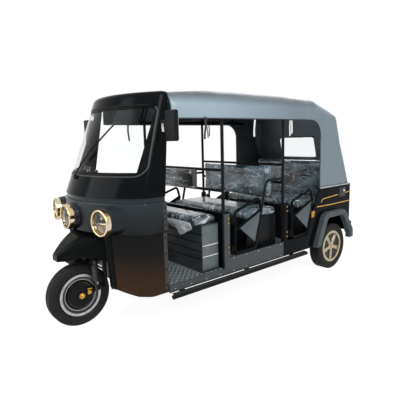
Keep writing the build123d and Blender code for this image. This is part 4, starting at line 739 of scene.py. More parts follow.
class RICKSHAW_OT_lamps(bpy.types.Operator):
    """Fit the lamp bowls, projectors, bars, lenses and gold rings"""

    bl_idname = "rickshaw.lamps"
    bl_label = "Headlamps"

    def execute(self, context):
        parts = {name: bmesh.new() for name in ("bowls", "projectors", "dots", "bars", "ambers", "domes", "rings")}
        ahead = Vector((1, 0, 0))
        deep = ahead * LAMP_BOWL
        lens = deep + Vector((0.012, 0, 0.030))
        for forward, side, turn in LAMPS:
            lamp = {name: bmesh.new() for name in parts}
            lathe(lamp["bowls"], BOWL_OUTLINE, deep, ahead, 40, closed=True)
            lathe(lamp["projectors"], CAP_OUTLINE, lens, ahead, 32)
            lathe(lamp["dots"], DOT_OUTLINE, lens + ahead * 0.0265, ahead, 16)
            bar_low, bar_high = Vector((0.018, -BAR_HALF, -0.013)), Vector((0.034, BAR_HALF, -0.003))
            box_of(lamp["bars"], deep + bar_low, deep + bar_high, 0.003)
            lathe(lamp["ambers"], AMBER_OUTLINE, deep, ahead, 40)
            half = lamp["ambers"]
            slice_mesh(half, (0, 0, AMBER_TOP), (0, 0, 1), clear_outer=True)
            bmesh.ops.holes_fill(half, edges=half.edges[:], sides=0)
            lathe(lamp["domes"], DOME_OUTLINE, ahead * -0.017, ahead, 48, closed=True)
            lathe(lamp["rings"], RING_OUTLINE, (0, 0, 0), ahead, 64, closed=True)
            place = Matrix.Translation((POST_X + forward, side, LAMP_Z))
            aim = Matrix.Rotation(math.radians(turn), 4, "Z")
            for name, part in lamp.items():
                merge_in(parts[name], part, place @ aim)
        bowl = piece("lamp_bowls", parts["bowls"], CHASSIS, "dark_chrome")
        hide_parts("headlamp_lenses")
        for name, finish, slot in LAMP_COATS:
            piece(f"lamp_{name}", parts[name], CHASSIS, finish)
        return {"FINISHED"}


WHEELS = [
    # rim, body, sides that show
    ("front_rim", "front_wheel", (1, -1)),
    ("rear_rim_left", "rear_wheel_left", (1,)),
    ("rear_rim_right", "rear_wheel_right", (-1,)),
]
FRONT_LIP = [(-0.004, 0.1475), (0.0005, 0.1490), (0.0015, 0.156), (0.0010, 0.168), (-0.003, 0.1695)]
FRONT_BEAD = [(-0.0105, 0.122), (-0.0085, 0.1235), (-0.0080, 0.1275), (-0.0100, 0.129)]
FRONT_DISH = [(-0.004, 0.1474), (-0.010, 0.128), (-0.012, 0.116), (-0.020, 0.1055), (-0.022, 0.1055)]
REAR_SHADE_DISC = [(0.0406, 0.045), (0.0414, 0.046), (0.0414, 0.1455), (0.0406, 0.1462)]
REAR_HUB = [(0.0410, 0.046), (0.0500, 0.044), (0.0530, 0.036), (0.0535, 0.0005)]
REAR_CAP = [(0.052, 0.022), (0.056, 0.021), (0.0585, 0.016), (0.059, 0.0005)]
SPOKES, SPOKE_TURN = 5, 0.3
SPOKE_LOW, SPOKE_HIGH = (0.034, 0.0408, -0.017), (0.1465, 0.0535, 0.017)
SPOKE_RUN, SPOKE_FLARE, SPOKE_FALL = 0.11, 0.45, 0.004


class RICKSHAW_OT_wheel_trim(bpy.types.Operator):
    """Add the rim lips, the cast spokes over a dark disc of painted shade for their openings, and the hub caps"""

    bl_idname = "rickshaw.wheel_trim"
    bl_label = "Wheel trim"

    def execute(self, context):
        for node, body, sides in WHEELS:
            low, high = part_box(node)
            centre = (low + high) / 2
            front = node == "front_rim"
            nuts, lips, backs = bmesh.new(), bmesh.new(), bmesh.new()
            for side in sides:
                face = Vector((centre.x, high.y if side > 0 else low.y, centre.z))
                out = Vector((0, side, 0))
                if front:
                    lathe(lips, FRONT_LIP, face, out, 72)
                    lathe(lips, FRONT_BEAD, face, out, 72)
                    lathe(backs, FRONT_DISH, face, out, 72)
                    continue
                # A dark disc under the spokes: painted shade in the openings of the cast wheel.
                lathe(backs, REAR_SHADE_DISC, centre, out, 60)
                lathe(lips, REAR_HUB, centre, out, 40)
                for k in range(SPOKES):
                    spoke = bmesh.new()
                    box_of(spoke, SPOKE_LOW, SPOKE_HIGH, 0.005, 3)
                    for vert in spoke.verts:
                        share = (vert.co.x - SPOKE_LOW[0]) / SPOKE_RUN
                        vert.co.z *= 1 + SPOKE_FLARE * share
                        vert.co.y = side * (vert.co.y - SPOKE_FALL * share)
                    if side < 0:
                        bmesh.ops.reverse_faces(spoke, faces=spoke.faces)
                    turn = Matrix.Rotation(math.tau * k / SPOKES + SPOKE_TURN, 4, "Y")
                    merge_in(lips, spoke, Matrix.Translation(centre) @ turn)
                lathe(nuts, REAR_CAP, centre, out, 28)
            if front:
                piece(f"{body}_lips", lips, body, "rim_steel", 40)
                piece(f"{body}_dish", backs, body, "rim_black", 40)
                nuts.free()
            else:
                piece(f"{body}_spokes", lips, body, "rim_alloy", 40)
                piece(f"{body}_windows", backs, body, "dark_rubber", 40)
                piece(f"{body}_cap", nuts, body, "gold", 40)
        return {"FINISHED"}


CANOPY = {
    # places as x and z, runs and heights in metres
    "back_low": (POST_X - 2.480, 0.908),
    "back_top": (POST_X - 2.258, 1.716),
    "bow": (POST_X - 1.860, 1.846),
    "pinch": 0.062,
    "pinch_run": 0.42,
    "crown": 0.052,
    "front_drop": 0.020,
    "lift": 0.020,
    "shoulder": 0.10,
    "opening_x": POST_X - 1.930,
    "hem_z": 1.600,
    "corner": 0.16,
    "window_half": 0.25,
    "window": (1.200, 1.430),
    "window_corner": 0.04,
    "fade": 0.12,
}
CLOTH_RIPPLE = 0.0035
BOWS = [POST_X - behind for behind in (0.112, 0.562, 1.358, 1.840, 2.272)]


def canopy_skin(low, high):
    """The outer face of the canopy: a block with its back, front sides and edges shaped."""
    bm = bmesh.new()
    box_of(bm, low, high)
    back_low, back_top, bow = CANOPY["back_low"], CANOPY["back_top"], CANOPY["bow"]
    pinch, run = CANOPY["pinch"], CANOPY["pinch_run"]
    planes = [
        ((back_low[0], 0, back_low[1]), (-(back_top[1] - back_low[1]), 0, back_top[0] - back_low[0])),
        ((bow[0], 0, bow[1]), (-(bow[1] - back_top[1]), 0, bow[0] - back_top[0])),
    ]
    for side in (1, -1):
        planes.append(((high.x - run, side * high.y, 0), (pinch, side * run, 0)))
    for spot, way in planes:
        cut = slice_mesh(bm, spot, way, clear_outer=True)
        bmesh.ops.holes_fill(bm, edges=[e for e in cut["geom_cut"] if isinstance(e, bmesh.types.BMEdge)], sides=0)
    bmesh.ops.recalc_face_normals(bm, faces=bm.faces)
    ends = [f for f in bm.faces if f.normal.z < -0.9 or f.normal.x > 0.9]
    bmesh.ops.delete(bm, geom=ends, context="FACES")
    shoulders = [e for e in bm.edges if len(e.link_faces) == 2 and e.calc_face_angle() > 0.6]
    round_edges(bm, shoulders, CANOPY["shoulder"], 6)
    grid_cuts(bm, low, high, 0.045)
    return bm


class RICKSHAW_OT_canopy(bpy.types.Operator):
    """Stretch the canopy over its bows, with its opening, rear window and welts"""

    bl_idname = "rickshaw.canopy"
    bl_label = "Canopy"

    def execute(self, context):
        sizes = context.scene.rickshaw_sizes
        low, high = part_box("canopy")
        bm = canopy_skin(low, high)
        corner, opening, hem = CANOPY["corner"], CANOPY["opening_x"], CANOPY["hem_z"]
        hub = Vector((opening + corner, 0, hem - corner))
        planes = [
            (Vector((0, 0, hem)), Vector((0, 0, 1))),
            (Vector((opening, 0, 0)), Vector((-1, 0, 0))),
        ]
        for k in range(1, 7):
            turn = math.radians(90 + 90 * k / 7)
            way = Vector((math.cos(turn), 0, math.sin(turn)))
            planes.append((hub + way * corner, way))
        cut_hole(bm, planes)
        half, (sill, top), corner = CANOPY["window_half"], CANOPY["window"], CANOPY["window_corner"]
        planes = [
            (Vector((0, half, 0)), Vector((0, 1, 0))),
            (Vector((0, -half, 0)), Vector((0, -1, 0))),
            (Vector((0, 0, top)), Vector((0, 0, 1))),
            (Vector((0, 0, sill)), Vector((0, 0, -1))),
        ]
        for side in (1, -1):
            for rise, edge in ((1, top), (-1, sill)):
                for share in (0.3, 0.7):
                    turn = math.pi / 2 * share
                    way = Vector((0, side * math.cos(turn), rise * math.sin(turn)))
                    hub = Vector((0, side * (half - corner), edge - rise * corner))
                    planes.append((hub + way * corner, way))
        cut_hole(bm, planes, keep=lambda place: place.x > opening)
        bmesh.ops.remove_doubles(bm, verts=bm.verts, dist=0.0012)
        bm.normal_update()
        for vert in bm.verts:
            x, y, z = vert.co
            across = y / high.y
            over = clamped((z - hem) / CANOPY["fade"])
            bay = next(((a, b) for a, b in zip(BOWS, BOWS[1:]) if a >= x > b), None)
            sink = math.sin(math.pi * (bay[0] - x) / (bay[0] - bay[1])) if bay else 0.0
            drop = CANOPY["crown"] * across * across + sizes.canopy_sag * sink * (1 - across * across)
            ripple = noise.noise(Vector((x * 3.1, y * 2.3, z * 5.5)))
            ripple += 0.5 * noise.noise(Vector((x * 8, y * 6, z * 9)))
            lead = clamped((x - BOWS[1]) / (high.x - BOWS[1]))
            drop += CANOPY["front_drop"] * lead * lead
            run = clamped((high.x - x) / (high.x - BOWS[3]))
            drop -= CANOPY["lift"] * math.sin(math.pi * run)
            vert.co.z -= drop * over
            vert.co -= vert.normal * (CLOTH_RIPPLE + CLOTH_RIPPLE * ripple)
        area = sum(face.calc_area() for face in bm.faces)
        rings = open_edges(bm)
        cloth = piece("canopy_cloth", bm, CHASSIS, "canopy_vinyl", 50)
        thicken(cloth, sizes.canopy_thick)
        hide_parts("canopy")
        welts = bmesh.new()
        for run, closed in rings:
            sweep(welts, run, sizes.piping, closed=closed, smooth=False, around=2)
        welt = piece("canopy_welts", welts, CHASSIS, "dark_rubber", 60)
        return {"FINISHED"}


PAD_STEPS = 20


def sewn_pad(low, high, corner, swell):
    """A foam pad in a sewn cover, blown up a little between its seams by a cloth simulation."""
    shrink = Vector((swell, swell, swell)) * 0.5
    low, high = low + shrink, high - shrink
    bm = bmesh.new()
    box_of(bm, low, high, corner, 3)
    grid_cuts(bm, low, high, 0.026)
    bmesh.ops.remove_doubles(bm, verts=bm.verts, dist=0.003)
    mesh = bpy.data.meshes.new("pad")
    bm.to_mesh(mesh)
    start = [vert.co.copy() for vert in mesh.vertices]
    pad = bpy.data.objects.new("pad", mesh)
    bpy.context.collection.objects.link(pad)
    cover = pad.modifiers.new("Cover", "CLOTH")
    cover.settings.use_pressure = True
    cover.settings.uniform_pressure_force = 4
    cover.settings.effector_weights.gravity = 0
    cover.point_cache.frame_start = 1
    cover.point_cache.frame_end = PAD_STEPS
    for step in range(1, PAD_STEPS + 1):
        bpy.context.scene.frame_set(step)
    blown = pad.evaluated_get(bpy.context.evaluated_depsgraph_get()).to_mesh()
    places = [vert.co.copy() for vert in blown.vertices]
    bpy.context.scene.frame_set(1)
    bpy.data.objects.remove(pad)
    bpy.data.meshes.remove(mesh)
    bm.verts.ensure_lookup_table()
    for vert, before, after in zip(bm.verts, start, places):
        move = after - before
        if move.length > swell:
            move *= swell / move.length
        vert.co = before + move
    return bm


PADS = [
    # node, edge rounding, finish
    ("driver_cushion", 0.020, "cushion_film"),
    ("driver_backrest", 0.018, "streaked_vinyl"),
    ("middle_cushion", 0.022, "cushion_film"),
    ("middle_backrest", 0.018, "seat_vinyl"),
    ("rear_cushion", 0.022, "cushion_film"),
    ("rear_backrest", 0.020, "seat_vinyl"),
]


class RICKSHAW_OT_seats(bpy.types.Operator):
    """Sew and fill the seat pads"""

    bl_idname = "rickshaw.seats"
    bl_label = "Seat pads"

    def execute(self, context):
        swell = context.scene.rickshaw_sizes.pad_swell
        for node, corner, finish in PADS:
            low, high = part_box(node)
            bm = sewn_pad(low, high, corner, swell)
            pad = piece(f"pad_{node}", bm, CHASSIS, finish, 60, levels=1)
            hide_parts(node)
        return {"FINISHED"}


STEER_FOOT = AXLE + Vector((0.010, 0, 0))
RAKE = math.radians(20)
STEER_UP = Vector((-math.sin(RAKE), 0, math.cos(RAKE)))
STEER_AHEAD = Vector((math.cos(RAKE), 0, math.sin(RAKE)))


def on_steer(ahead, left, along):
    """A place given in the raked steering frame."""
    return STEER_FOOT + STEER_AHEAD * ahead + STEER_UP * along + Vector((0, left, 0))


GLASS_WAY = Vector((0.9, 0, 0.4))


def glass_skin():
    """The face of the windscreen that looks ahead."""
    bm = bmesh.new()
    bm.from_mesh(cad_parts["windscreen"].data)
    bmesh.ops.remove_doubles(bm, verts=bm.verts, dist=WELD)
    bm.normal_update()
    hidden = [face for face in bm.faces if face.normal.dot(GLASS_WAY) <= 0.25]
    bmesh.ops.delete(bm, geom=hidden, context="FACES")
    return bm


WIPER = [
    # places on the glass ahead of the cab post, from the pivot to the tip of the blade
    (0.400, -0.060, 1.176),
    (0.344, 0.030, 1.310),
    (0.274, 0.152, 1.445),
    (0.198, 0.264, 1.562),
]
WIPER_PIVOT = [(-0.012, 0.016), (0.004, 0.016), (0.010, 0.012), (0.012, 0.0005)]
SEAL_RADIUS = 0.0075
BORDER_SIDE, BORDER_TOP, BORDER_LIFT = 0.052, 0.030, 0.0006


class RICKSHAW_OT_screen_trim(bpy.types.Operator):
    """Fit the rubber seal, the printed border and the wiper to the windscreen"""

    bl_idname = "rickshaw.screen_trim"
    bl_label = "Windscreen trim"

    def execute(self, context):
        border, seal = glass_skin(), bmesh.new()
        ring = max((run for run, closed in open_edges(border) if closed), key=len)
        sweep(seal, ring, SEAL_RADIUS, closed=True, smooth=False, around=2)
        piece("screen_seal", seal, CHASSIS, "dark_rubber", 60)
        glass_low, glass_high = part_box("windscreen")
        inset = [
            (Vector((0, 1, 0)), glass_high.y - BORDER_SIDE),
            (Vector((0, -1, 0)), -glass_low.y - BORDER_SIDE),
            (Vector((0, 0, 1)), glass_high.z - BORDER_TOP),
            (Vector((0, 0, -1)), -glass_low.z - BORDER_TOP),
        ]
        for way, reach in inset:
            slice_mesh(border, way * reach, way)
        clear = [f for f in border.faces if all(f.calc_center_median().dot(way) < reach for way, reach in inset)]
        bmesh.ops.delete(border, geom=clear, context="FACES")
        border.normal_update()
        for vert in border.verts:
            vert.co += vert.normal * BORDER_LIFT
        thicken(piece("screen_border", border, CHASSIS, "guard_paint", 60), BORDER_LIFT)
        arm = bmesh.new()
        pivot, low, joint, tip = (Vector((POST_X + ahead, y, z)) for ahead, y, z in WIPER)
        lift = Vector((0.92, 0.1, 0.36))
        lathe(arm, WIPER_PIVOT, pivot, lift, 20)
        sweep(arm, [pivot + lift * 0.006, pivot.lerp(joint, 0.35) + lift * 0.026, joint + lift * 0.017], 0.0055)
        sweep(arm, [low + lift * 0.010, joint + lift * 0.016, tip + lift * 0.010], 0.004)
        piece("wiper_arm", arm, CHASSIS, "frame_paint", 60)
        blade = bmesh.new()
        sweep(blade, [low + lift * 0.004, joint + lift * 0.008, tip + lift * 0.004], 0.003, around=1)
        piece("wiper_blade", blade, CHASSIS, "dark_rubber", 60)
        return {"FINISHED"}


class RICKSHAW_OT_mirrors(bpy.types.Operator):
    """Set the glasses into the mirrors and the painted highlight strips on the cab pillars"""

    bl_idname = "rickshaw.mirror_glass"
    bl_label = "Mirror glasses and markers"

    def execute(self, context):
        low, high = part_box("mirrors")
        glass, glint_strips = bmesh.new(), bmesh.new()
        for side in (1, -1):
            near, far = span(side, high.y - 0.112, high.y - 0.008)
            box_of(glass, (low.x - 0.002, near, low.z + 0.012), (low.x + 0.001, far, high.z - 0.012), 0.0012)
            # White strips on the cab pillars: painted highlights.
            strip = bmesh.new()
            box_of(strip, (-0.009, -0.003, -0.042), (0.009, 0.004, 0.042), 0.0028, 3)
            place = Matrix.Translation((POST_X - 0.030, side * 0.5555, 1.545))
            merge_in(glint_strips, strip, place @ Matrix.Rotation(side * 0.092, 4, "X"))
        piece("mirror_glasses", glass, CHASSIS, "mirror")
        piece("pillar_markers", glint_strips, CHASSIS, "plate")
        return {"FINISHED"}


STRAPS = [
    # behind the cab post, length, finish
    (0.406, 0.17, "webbing_black"),
    (0.962, 0.16, "webbing_white"),
    (1.447, 0.16, "webbing_white"),
    (1.472, 0.14, "webbing_white"),
]
TIE_WIDE = 0.018
CANOPY_INNER = 0.598


class RICKSHAW_OT_straps(bpy.types.Operator):
    """Hang the curtain ties from the canopy hem"""

    bl_idname = "rickshaw.straps"
    bl_label = "Curtain ties"

    def execute(self, context):
        hem, half = CANOPY["hem_z"] + 0.012, TIE_WIDE / 2
        for side, name in ((1, "left"), (-1, "right")):
            for k, (behind, drop, finish) in enumerate(STRAPS):
                along = POST_X - behind
                bm = bmesh.new()
                box_of(bm, (along - half, -0.0012, hem - drop), (along + half, 0.0012, hem))
                grid_cuts(bm, Vector((along - half, -1, hem - drop)), Vector((along + half, -0.5, hem)), 0.009)
                for vert in bm.verts:
                    down = (hem - vert.co.z) / drop
                    vert.co.x += 0.006 * math.sin(2.6 * down + k)
                    sway = CANOPY_INNER - 0.010 * down * down + 0.004 * math.sin(5 * down + k)
                    vert.co.y = side * (sway + vert.co.y)
                bmesh.ops.recalc_face_normals(bm, faces=bm.faces)
                tie = piece(f"curtain_tie_{name}_{k + 1}", bm, CHASSIS, finish, 40)
        return {"FINISHED"}


RING_HALF = 0.034
BUTTON = [(-0.002, 0.013), (0.005, 0.013), (0.008, 0.010), (0.009, 0.0005)]
STUD = [(-0.002, 0.006), (0.002, 0.006), (0.004, 0.004), (0.005, 0.0005)]
STRIPES = [
    # places on the left rear panel: behind the cab post, height
    [(1.962, 0.752), (1.968, 0.772), (1.986, 0.786), (2.032, 0.790), (2.152, 0.797), (2.274, 0.804)],
    [(2.426, 0.812), (2.462, 0.814), (2.504, 0.818)],
    [(1.887, 0.716), (2.052, 0.712), (2.232, 0.710), (2.504, 0.713)],
]
REAR_BOXES = {
    # behind the cab post from and to, out from the panel from and to, foot and head, edge rounding
    "latch_plates": ((2.422, 2.297), (-0.001, 0.004), (0.776, 0.876), 0.003),
    "side_reflectors": ((1.844, 1.788), (-0.002, 0.005), (0.617, 0.683), 0.003),
    "canopy_rails": ((2.497, 1.937), (-0.006, 0.003), (0.900, 0.914), 0.002),
}
REAR_COATS = [
    # piece, finish, slot, degrees above which an edge is sharp
    ("gold_stripes", "gold_tape", "body_paint", 60),
    ("latch_plates", "dash_plastic", "dash_plastic", 35),
    ("latch_buttons", "plate", "lamp_chrome", 35),
    ("side_reflectors", "gold", "lamp_glass", 35),
    ("canopy_rails", "rim_steel", "rim_steel", 35),
    ("canopy_studs", "lamp_chrome", "lamp_chrome", 35),
]


class RICKSHAW_OT_rear_trim(bpy.types.Operator):
    """Add the stripes, latch plates, tags, canopy rails, plate and lamp rings at the rear"""

    bl_idname = "rickshaw.rear_trim"
    bl_label = "Rear body trim"

    def execute(self, context):
        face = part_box("quarter_panels")[1].y
        width = context.scene.rickshaw_sizes.stripe
        parts = {row[0]: bmesh.new() for row in REAR_COATS}
        tape = parts["gold_stripes"]
        for side in (1, -1):
            for run in STRIPES:
                strip = bmesh.new()
                sweep(strip, [(POST_X - behind, 0, z) for behind, z in run], width / 2, around=2)
                for vert in strip.verts:
                    vert.co.y = side * (face + 0.0001 + vert.co.y * side * 0.14)
                merge_in(tape, strip)
            for name, (behind, lift, height, rounding) in REAR_BOXES.items():
                inner, outer = span(side, face + lift[0], face + lift[1])
                low, high = (POST_X - behind[0], inner, height[0]), (POST_X - behind[1], outer, height[1])
                box_of(parts[name], low, high, rounding)
            out = Vector((0, side, 0))
            lathe(parts["latch_buttons"], BUTTON, (POST_X - 2.388, side * (face + 0.003), 0.839), out, 24)
            for k in range(6):
                spot = (POST_X - 1.982 - 0.095 * k, side * (face + 0.002), 0.907)
                lathe(parts["canopy_studs"], STUD, spot, out, 12)
        bmesh.ops.recalc_face_normals(tape, faces=tape.faces)
        for name, finish, slot, sharp in REAR_COATS:
            piece(name, parts[name], CHASSIS, finish, sharp)
        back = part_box("tail_panel")[0].x
        plate = bmesh.new()
        box_of(plate, (back - 0.004, -0.17, 0.53), (back - 0.0005, 0.17, 0.64), 0.0015)
        piece("number_plate", plate, CHASSIS, "plate")
        rings, ambers = bmesh.new(), bmesh.new()
        lamp_low, lamp_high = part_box("tail_lamps")
        for side in (1, -1):
            near, far = span(side, lamp_high.y - 0.068, lamp_high.y - 0.006)
            deep, sill = lamp_low.x, lamp_low.z
            box_of(ambers, (deep - 0.003, near, sill + 0.010), (deep + 0.004, far, sill + 0.050), 0.0025)
            left, right = (near + far) / 2 - RING_HALF, (near + far) / 2 + RING_HALF
            foot, head = sill + 0.005, lamp_high.z - 0.005
            corners = [(left, foot), (right, foot), (right, head), (left, head)]
            sweep(rings, [(deep + 0.012, y, z) for y, z in corners], 0.0035, closed=True, smooth=False, around=2)
        piece("tail_lamp_ambers", ambers, CHASSIS, "amber")
        piece("tail_lamp_rings", rings, CHASSIS, "lamp_chrome")
        return {"FINISHED"}


HINGE_BOLT = [(-0.010, 0.008), (0.003, 0.008), (0.006, 0.005), (0.0065, 0.0005)]
RIBS = [
    # ends of each rib: behind the door post, height
    [(0.205, 0.690), (0.405, 0.775)],
    [(0.240, 0.678), (0.390, 0.742)],
    [(0.352, 0.560), (0.408, 0.722)],
]
DOOR_Y = 0.610
HINGES = [0.515, 0.762]
DOOR_PLATE = [(0.166, 0.680), (0.424, 0.790), (0.362, 0.516)]
DOOR_POSTS = {"middle_door": POST_X - 0.585, "rear_door": POST_X - 1.358}
DOOR_BODY = {
    ("middle_door", 1): "left_middle_door",
    ("middle_door", -1): "right_middle_door",
    ("rear_door", 1): "left_rear_door",
    ("rear_door", -1): "right_rear_door",
}


class RICKSHAW_OT_door_trim(bpy.types.Operator):
    """Add the hinge bolts and the pressed ribs of the doors"""

    bl_idname = "rickshaw.door_trim"
    bl_label = "Door trim"

    def execute(self, context):
        bolts = bmesh.new()
        for post in DOOR_POSTS.values():
            for side in (1, -1):
                for height in HINGES:
                    for lift in (-0.021, 0.021):
                        place = (post - 0.030, side * 0.6135, height + lift)
                        lathe(bolts, HINGE_BOLT, place, (0, side, 0), 6)
        piece("hinge_bolts", bolts, CHASSIS, "gold", 25)
        for (door, side), body in DOOR_BODY.items():
            ribs = bmesh.new()
            post = DOOR_POSTS[door]
            # Grey plates and ribs on the black doors: a painted reflection.
            for face in (1, -1):
                rings = [
                    [ribs.verts.new((post - behind, side * DOOR_Y + face * lift, z)) for behind, z in DOOR_PLATE]
                    for lift in (0.0031, 0.0042)
                ]
                ribs.faces.new(rings[0])
                ribs.faces.new(rings[1])
                for k in range(len(DOOR_PLATE)):
                    ribs.faces.new((rings[0][k - 1], rings[0][k], rings[1][k], rings[1][k - 1]))
            bmesh.ops.recalc_face_normals(ribs, faces=ribs.faces)
            for run in RIBS:
                for face in (1, -1):
                    line = [(post - behind, side * DOOR_Y + face * 0.003, height) for behind, height in run]
                    sweep(ribs, line, 0.0035, smooth=False, around=2)
            name = door + ("_left" if side > 0 else "_right")
            piece(f"{name}_ribs", ribs, body, "door_grey", 60)
        return {"FINISHED"}


FILM_THICK = 0.0008
FLAP_TIP = 0.648
FLAP_SPAN = (0.02, 0.50)
FLAP_PEAK = 0.66
WINDOW_LAP = 0.014


class RICKSHAW_OT_film_flap(bpy.types.Operator):
    """Hang the loose corner of wrapping film and stretch the rear window film"""

    bl_idname = "rickshaw.film_flap"
    bl_label = "Films"

    def execute(self, context):
        cushion_low, cushion_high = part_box("driver_cushion")
        top, tip = cushion_low.z + 0.030, FLAP_TIP
        near, far = FLAP_SPAN
        bm = bmesh.new()
        bmesh.ops.create_grid(bm, x_segments=36, y_segments=14, size=0.5)
        for vert in bm.verts:
            across, down = vert.co.x + 0.5, 0.5 - vert.co.y
            reach = 0.25 + 0.75 * max(0.0, 1 - abs(across - FLAP_PEAK) / 0.42)
            y = near + (far - near) * across
            z = top - (top - tip) * down * reach
            fold = 0.006 * math.sin(17 * across + 3 * down) + 0.004 * math.sin(31 * across - 5 * down)
            clear = cushion_high.x + 0.008 - 0.030 * down * down
            vert.co = (clear + fold * down, y, z)
        area = sum(face.calc_area() for face in bm.faces)
        flap = piece("film_flap", bm, CHASSIS, "milky_film", 80)
        thicken(flap, FILM_THICK)
        pane = bmesh.new()
        (low_x, low_z), (high_x, high_z) = CANOPY["back_low"], CANOPY["back_top"]
        half, (sill, head) = CANOPY["window_half"] + WINDOW_LAP, CANOPY["window"]
        tall = head - sill + 2 * WINDOW_LAP
        bmesh.ops.create_grid(pane, x_segments=16, y_segments=8, size=0.5)
        for vert in pane.verts:
            z = sill - WINDOW_LAP + tall * (vert.co.y + 0.5)
            y = vert.co.x * 2 * half
            x = low_x + (high_x - low_x) * (z - low_z) / (high_z - low_z) + 0.012
            ripple = 0.0015 * noise.noise(Vector((y * 9, z * 9, 3.0)))
            vert.co = (x + ripple, y, z)
        film = piece("rear_window_film", pane, CHASSIS, "film", 80)
        thicken(film, FILM_THICK)
        return {"FINISHED"}


RIDGES = range(9)
BOOT = [
    # share of the leg's length, radius
    (0.22, 0.010),
    *[ridge for k in RIDGES for ridge in ((0.24 + 0.072 * k, 0.0215), (0.24 + 0.072 * k + 0.036, 0.0255))],
    (0.90, 0.010),
]
GRIP = [
    (-0.115, 0.0125), (-0.114, 0.019), (-0.108, 0.019),
    *[ridge for k in RIDGES for ridge in ((-0.104 + 0.011 * k, 0.0165), (-0.098 + 0.011 * k, 0.0178))],
    (-0.002, 0.0178), (0.002, 0.015), (0.003, 0.0005),
]
LEVER = [
    # ahead of the clamp and outward from it
    (0.010, 0.0), (0.045, 0.012), (0.038, 0.070), (0.018, 0.118),
]
POST_STRIPS = [
    # inner face, foot, head
    (0.599, 0.330, 0.772),
    (0.611, 0.790, 0.998),
]
POST_BOLT = [(-0.001, 0.0075), (0.003, 0.0070), (0.0045, 0.004), (0.005, 0.0004)]
AXLE_NUTS = [
    # place along the axle, outline
    (0.0655, [(0, 0.026), (0.010, 0.026), (0.014, 0.022), (0.0145, 0.0005)]),
    (0.0795, [(0, 0.013), (0.009, 0.013), (0.011, 0.010), (0.0115, 0.0005)]),
]
DIAL_FACE = [(0.0105, 0.0365), (0.0115, 0.0005)]
DIAL = [(-0.030, 0.040), (0.010, 0.044), (0.016, 0.044), (0.018, 0.040), (0.012, 0.037), (0.010, 0.0005)]
SHIELD_EDGE = 0.388
EDGE_LIFT, EDGE_THICK = 0.0022, 0.0012


class RICKSHAW_OT_front_trim(bpy.types.Operator):
    """Add the fork boots, grips, shield flanges, dial and brake hardware at the front"""

    bl_idname = "rickshaw.front_trim"
    bl_label = "Front trim"

    def execute(self, context):
        boots, grips = bmesh.new(), bmesh.new()
        for side in (1, -1):
            foot = AXLE + Vector((-0.112, side * 0.088, 0.044))
            top = on_steer(-0.014, side * 0.088, 0.290)
            run = top - foot
            lathe(boots, [(run.length * share, radius) for share, radius in BOOT], foot, run, 24)
            tip = on_steer(-0.070, side * 0.290, 0.850)
            root = on_steer(0.0, side * 0.090, 0.850)
            lathe(grips, GRIP, tip, tip - root, 24)
        piece("fork_boots", boots, STEERING, "dark_rubber", 50)
        piece("bar_grips", grips, STEERING, "dark_rubber", 50)
        levers = bmesh.new()
        for side in (1, -1):
            root = on_steer(-0.030, side * 0.165, 0.850)
            line = [root + STEER_AHEAD * ahead + Vector((0, side * aside, 0)) for ahead, aside in LEVER]
            sweep(levers, line, 0.005)
        piece("brake_levers", levers, STEERING, "rim_steel", 60)
        strips, bolts = bmesh.new(), bmesh.new()
        for side in (1, -1):
            for inner, low, high in POST_STRIPS:
                near, far = span(side, inner, inner + 0.005)
                box_of(strips, (POST_X + 0.001, near, low), (POST_X + 0.034, far, high), 0.002)
                for k in range(4):
                    height = low + 0.04 + (high - low - 0.08) * k / 3
                    lathe(bolts, POST_BOLT, (POST_X + 0.018, side * (inner + 0.005), height), (0, side, 0), 12)
        piece("post_strips", strips, CHASSIS, "dash_plastic")
        piece("post_bolts", bolts, CHASSIS, "frame_paint", 40)
        calliper, hubs = bmesh.new(), bmesh.new()
        box_of(calliper, AXLE + Vector((-0.078, 0.066, 0.000)), AXLE + Vector((-0.046, 0.078, 0.034)), 0.005)
        box_of(calliper, AXLE + Vector((-0.086, 0.066, 0.040)), AXLE + Vector((-0.044, 0.080, 0.052)), 0.004)
        for side in (1, -1):
            out = Vector((0, side, 0))
            for along, outline in AXLE_NUTS:
                lathe(hubs, outline, AXLE + out * along, out, 6)
        piece("brake_calliper", calliper, STEERING, "gold", 40)
        piece("axle_caps", hubs, STEERING, "gold", 25)
        edges = bmesh.new()
        edges.from_mesh(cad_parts["leg_shields"].data)
        for side in (1, -1):
            slice_mesh(edges, (0, side * SHIELD_EDGE, 0), (0, 1, 0), dist=CUT_SNAP)
        bmesh.ops.remove_doubles(edges, verts=edges.verts, dist=WELD)
        edges.normal_update()
        gone = [f for f in edges.faces if abs(f.calc_center_median().y) > SHIELD_EDGE or f.normal.x < 0.3]
        bmesh.ops.delete(edges, geom=gone, context="FACES")
        for vert in edges.verts:
            vert.co.x += EDGE_LIFT
        thicken(piece("shield_edges", edges, CHASSIS, "guard_paint", 40), EDGE_THICK)
        dial_low, dial_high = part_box("dashboard")
        dial, face = bmesh.new(), bmesh.new()
        spot = Vector(((dial_low.x + dial_high.x) / 2 - 0.02, 0.0, dial_high.z))
        way = Vector((-0.62, 0, 0.78))
        lathe(dial, DIAL, spot, way, 36)
        lathe(face, DIAL_FACE, spot, way, 36)
        piece("dial_case", dial, CHASSIS, "dash_plastic")
        piece("dial_face", face, CHASSIS, "plate")
        return {"FINISHED"}


RIVET = [(-0.001, 0.0055), (0.001, 0.005), (0.0026, 0.003), (0.003, 0.0004)]


